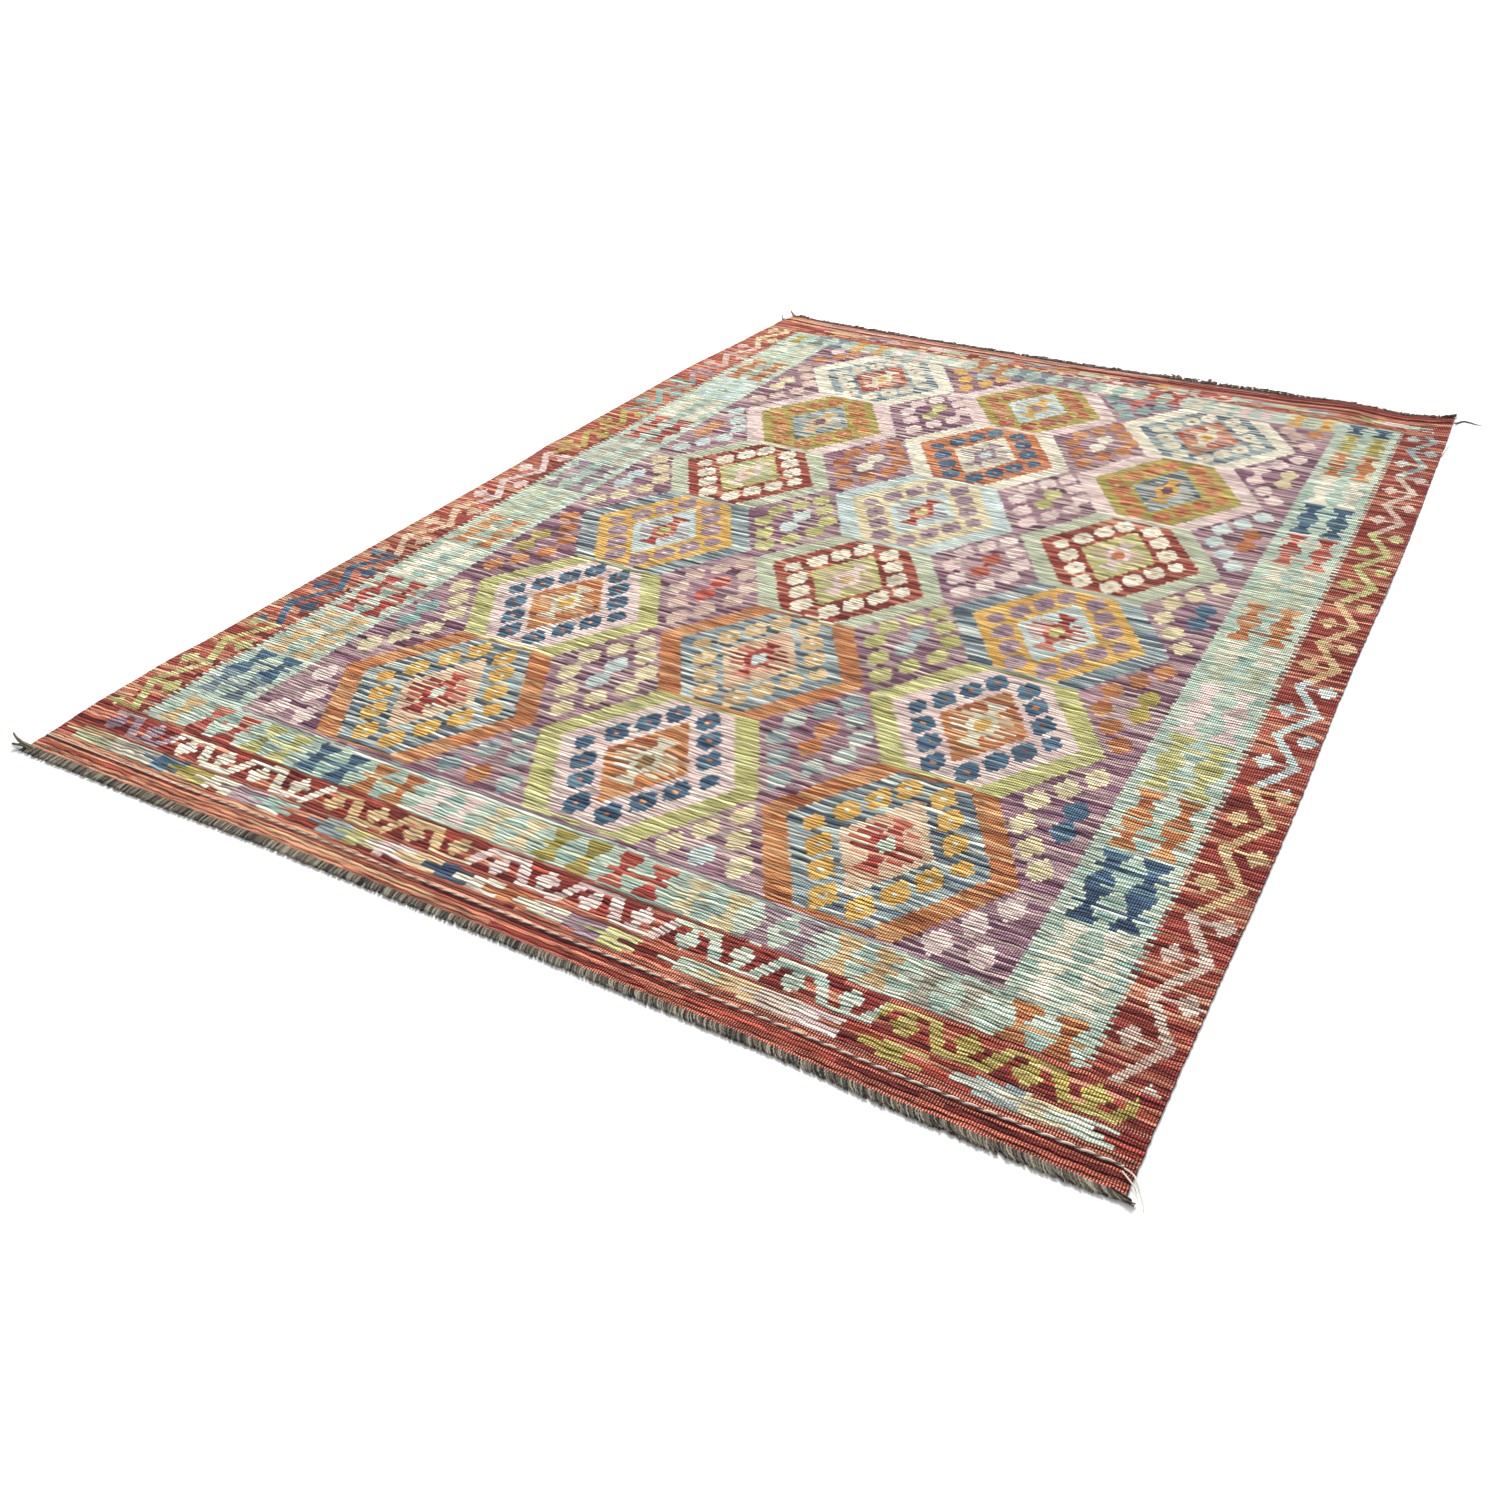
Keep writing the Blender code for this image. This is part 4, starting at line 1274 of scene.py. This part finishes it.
TWINE_INSET = 0.041
TWINE_FAR_INSET = 0.047
CREAM = (226, 222, 208)
TAUPE = (132, 118, 106)
CHARCOAL = (66, 62, 62)
DARK_RED = (128, 52, 44)
UMBER_RED = (104, 54, 48)
Spot = namedtuple("Spot", "x y on")
NEAR_TWINE_END = [
    Spot(1.0100, -1.4450, "cloth"),
    Spot(1.0180, -1.4470, "cloth"),
    Spot(1.0250, -1.4510, "cloth"),
    Spot(1.0300, -1.4580, "cloth"),
    Spot(1.0380, -1.4700, "floor"),
    Spot(1.0450, -1.4830, "floor"),
    Spot(1.0490, -1.4940, "floor"),
]
NEAR_SECOND_YARN = [
    Spot(1.0090, -1.4505, "cloth"),
    Spot(1.0150, -1.4550, "cloth"),
    Spot(1.0220, -1.4605, "cloth"),
    Spot(1.0285, -1.4660, "cloth"),
    Spot(1.0340, -1.4720, "floor"),
    Spot(1.0370, -1.4790, "floor"),
]
FAR_TWINE_LEFT_END = [
    Spot(-1.0280, 1.4240, "cloth"),
    Spot(-1.0360, 1.4300, "floor"),
    Spot(-1.0480, 1.4450, "floor"),
    Spot(-1.0560, 1.4620, "floor"),
    Spot(-1.0640, 1.4800, "floor"),
]
FAR_TWINE_RIGHT_END = [
    Spot(1.0310, 1.4260, "cloth"),
    Spot(1.0380, 1.4400, "floor"),
    Spot(1.0500, 1.4590, "floor"),
    Spot(1.0680, 1.4570, "floor"),
    Spot(1.0830, 1.4500, "floor"),
    Spot(1.0980, 1.4480, "floor"),
]
SIDE_YARN = [
    Spot(1.0328, 1.1760, "floor"),
    Spot(1.0365, 1.2250, "floor"),
    Spot(1.0395, 1.2620, "floor"),
    Spot(1.0470, 1.2920, "floor"),
]


def draw_yarn(bm, path, half_width, tone):
    """Draw a yarn along a path and add it to a piece."""
    mesh = straight_yarn("yarn", len(path) - 1)
    bend_yarns(mesh, np.asarray(path, float)[None], half_width)
    strand_tones(mesh, 1, np.array([tone]))
    bm.from_mesh(mesh)
    bpy.data.meshes.remove(mesh)


def smooth_path(spots, steps=8, height=0.0022):
    """A smooth path through the spots of a loose yarn, on the cloth and then on the floor."""
    rows = []
    for spot in spots:
        ground = lift(np.array(spot.x), np.array(spot.y)) + THICKNESS if spot.on == "cloth" else 0.0
        rows.append((spot.x, spot.y, float(ground) + height))
    rows = np.array(rows)
    rows = np.concatenate([[2 * rows[0] - rows[1]], rows, [2 * rows[-1] - rows[-2]]])
    path = []
    for before, start, stop, after in zip(rows, rows[1:], rows[2:], rows[3:]):
        for step in range(steps):
            t = step / steps
            square = (2 * before - 5 * start + 4 * stop - after) * t ** 2
            cube = (3 * start - before - 3 * stop + after) * t ** 3
            path.append(start + ((stop - before) * t + square + cube) / 2)
    path = np.array([*path, rows[-2]])
    path[:, 2] = np.maximum(path[:, 2], height)
    return path


def twine_paths(inset, first_spacing, last_spacing, last_x, flat_start=1.0):
    """The two yarns of a twined row across the rug; the spacing is between the pale beads.

    flat_start is how tightly they are wound at the left end: 0 leaves them side by side.
    """
    across = np.linspace(0.0005, 0.9995, 1500)
    x, y = place(across, np.full(1500, inset / LENGTH))
    spacing = first_spacing + (last_spacing - first_spacing) * np.clip(across / 0.35, 0, 1)
    turns = np.diff(x) / ((spacing[1:] + spacing[:-1]) / 2)
    phase = 2 * math.pi * np.concatenate([[0], np.cumsum(turns)])
    top = lift(x, y) + THICKNESS
    wound = flat_start + (1 - flat_start) * np.clip(across / 0.3, 0, 1)
    lean = 0.0013 * (1 - wound) + 0.0005 * wound * np.sin(phase)
    stand = 0.0010 * wound * np.cos(phase)
    pale = np.stack([x, y + lean, top + 0.0009 + stand], axis=1)
    dark = np.stack([x, y - lean, top + 0.0009 - stand], axis=1)
    kept = x < last_x
    return pale[kept], dark[kept]


def finish_yarns(bm, name, node):
    """Turn drawn yarns into a piece of the rug."""
    bmesh.ops.recalc_face_normals(bm, faces=bm.faces[:])
    mesh = finished_mesh(bm, name)
    mesh.shade_smooth()
    mesh.materials.append(yarn_wool)
    piece = put_in_scene(name, mesh)
    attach(piece, "root")
    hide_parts(node)
    return piece


def tapered(path, half_width):
    """Half widths along a loose yarn that thins towards its end."""
    share = np.linspace(0, 1, len(path))
    return half_width * (1 - 0.7 * share ** 3)


pale, dark = twine_paths(TWINE_INSET, 0.014, 0.026, NEAR_TWINE_END[0].x, 0.25)
loose = smooth_path(NEAR_TWINE_END)
bm = bmesh.new()
thicker = np.linspace(0.0010, 0.0015, len(pale))
draw_yarn(bm, pale, thicker * 1.25, CREAM)
draw_yarn(bm, dark, thicker * 0.85, TAUPE)
draw_yarn(bm, loose, tapered(loose, 0.0013), CREAM)
near_twine = finish_yarns(bm, "near_twine", "twine_near")
bm = bmesh.new()
loose = smooth_path(NEAR_SECOND_YARN)
draw_yarn(bm, loose, tapered(loose, 0.0012), CREAM)
near_yarn_end = finish_yarns(bm, "near_yarn_end", "yarn_end_near")
pale, dark = twine_paths(LENGTH - TWINE_FAR_INSET, 0.018, 0.018, FAR_TWINE_RIGHT_END[0].x)
bm = bmesh.new()
draw_yarn(bm, pale, 0.0009, DARK_RED)
draw_yarn(bm, dark, 0.0009, UMBER_RED)
for spots in (FAR_TWINE_LEFT_END, FAR_TWINE_RIGHT_END):
    loose = smooth_path(spots)
    draw_yarn(bm, loose, tapered(loose, 0.0021), CHARCOAL)
far_twine = finish_yarns(bm, "far_twine", "twine_far")
bm = bmesh.new()
loose = smooth_path(SIDE_YARN)
draw_yarn(bm, loose, tapered(loose, 0.0011), CREAM)
side_yarn_end = finish_yarns(bm, "side_yarn_end", "yarn_end_side")

# ---- Floor and light ----------------------------------------------------------------------
# A plain pale floor. A soft sun from the far left and a broad panel beside it light the rug, and
# a white room fills the shadows.

FLOOR_HALF = 40.0
ROOM_LIGHT = 0.53
KEY_LIGHT, KEY_SPREAD = 2.75, 24
KEY_PLACE, KEY_AIM = Vector((-2.0, 3.6, 2.9)), Vector((0, 0, 0))
PANEL_LIGHT, PANEL_SIZE = 135, 3.0
PANEL_PLACE, PANEL_AIM = Vector((-2.2, 2.4, 3.6)), Vector((-0.3, 0.7, 0))

bm = bmesh.new()
bmesh.ops.create_grid(bm, x_segments=1, y_segments=1, size=FLOOR_HALF)
floor_mesh = finished_mesh(bm, "floor")
floor = put_in_scene("floor", floor_mesh)
floor_paint = bpy.data.materials.new("floor_paint")
floor_paint.use_nodes = True
paint = floor_paint.node_tree.nodes["Principled BSDF"]
paint.inputs["Base Color"].default_value = (1.0, 1.0, 1.0, 1)
paint.inputs["Roughness"].default_value = 0.9
floor_mesh.materials.append(floor_paint)

world = bpy.data.worlds.new("studio")
world.use_nodes = True
background = world.node_tree.nodes["Background"]
background.inputs["Color"].default_value = (1, 1, 1, 1)
background.inputs["Strength"].default_value = ROOM_LIGHT
bpy.context.scene.world = world
bpy.context.scene.view_settings.view_transform = "Standard"


def hang_light(light, place, aim):
    """Hang a light at a place, turned to shine on another."""
    holder = put_in_scene(light.name, light)
    holder.location = place
    holder.rotation_euler = (aim - place).to_track_quat("-Z", "Y").to_euler()


key = bpy.data.lights.new("key", "SUN")
key.energy = KEY_LIGHT
key.angle = math.radians(KEY_SPREAD)
hang_light(key, KEY_PLACE, KEY_AIM)
panel = bpy.data.lights.new("far_panel", "AREA")
panel.size = PANEL_SIZE
panel.energy = PANEL_LIGHT
hang_light(panel, PANEL_PLACE, PANEL_AIM)
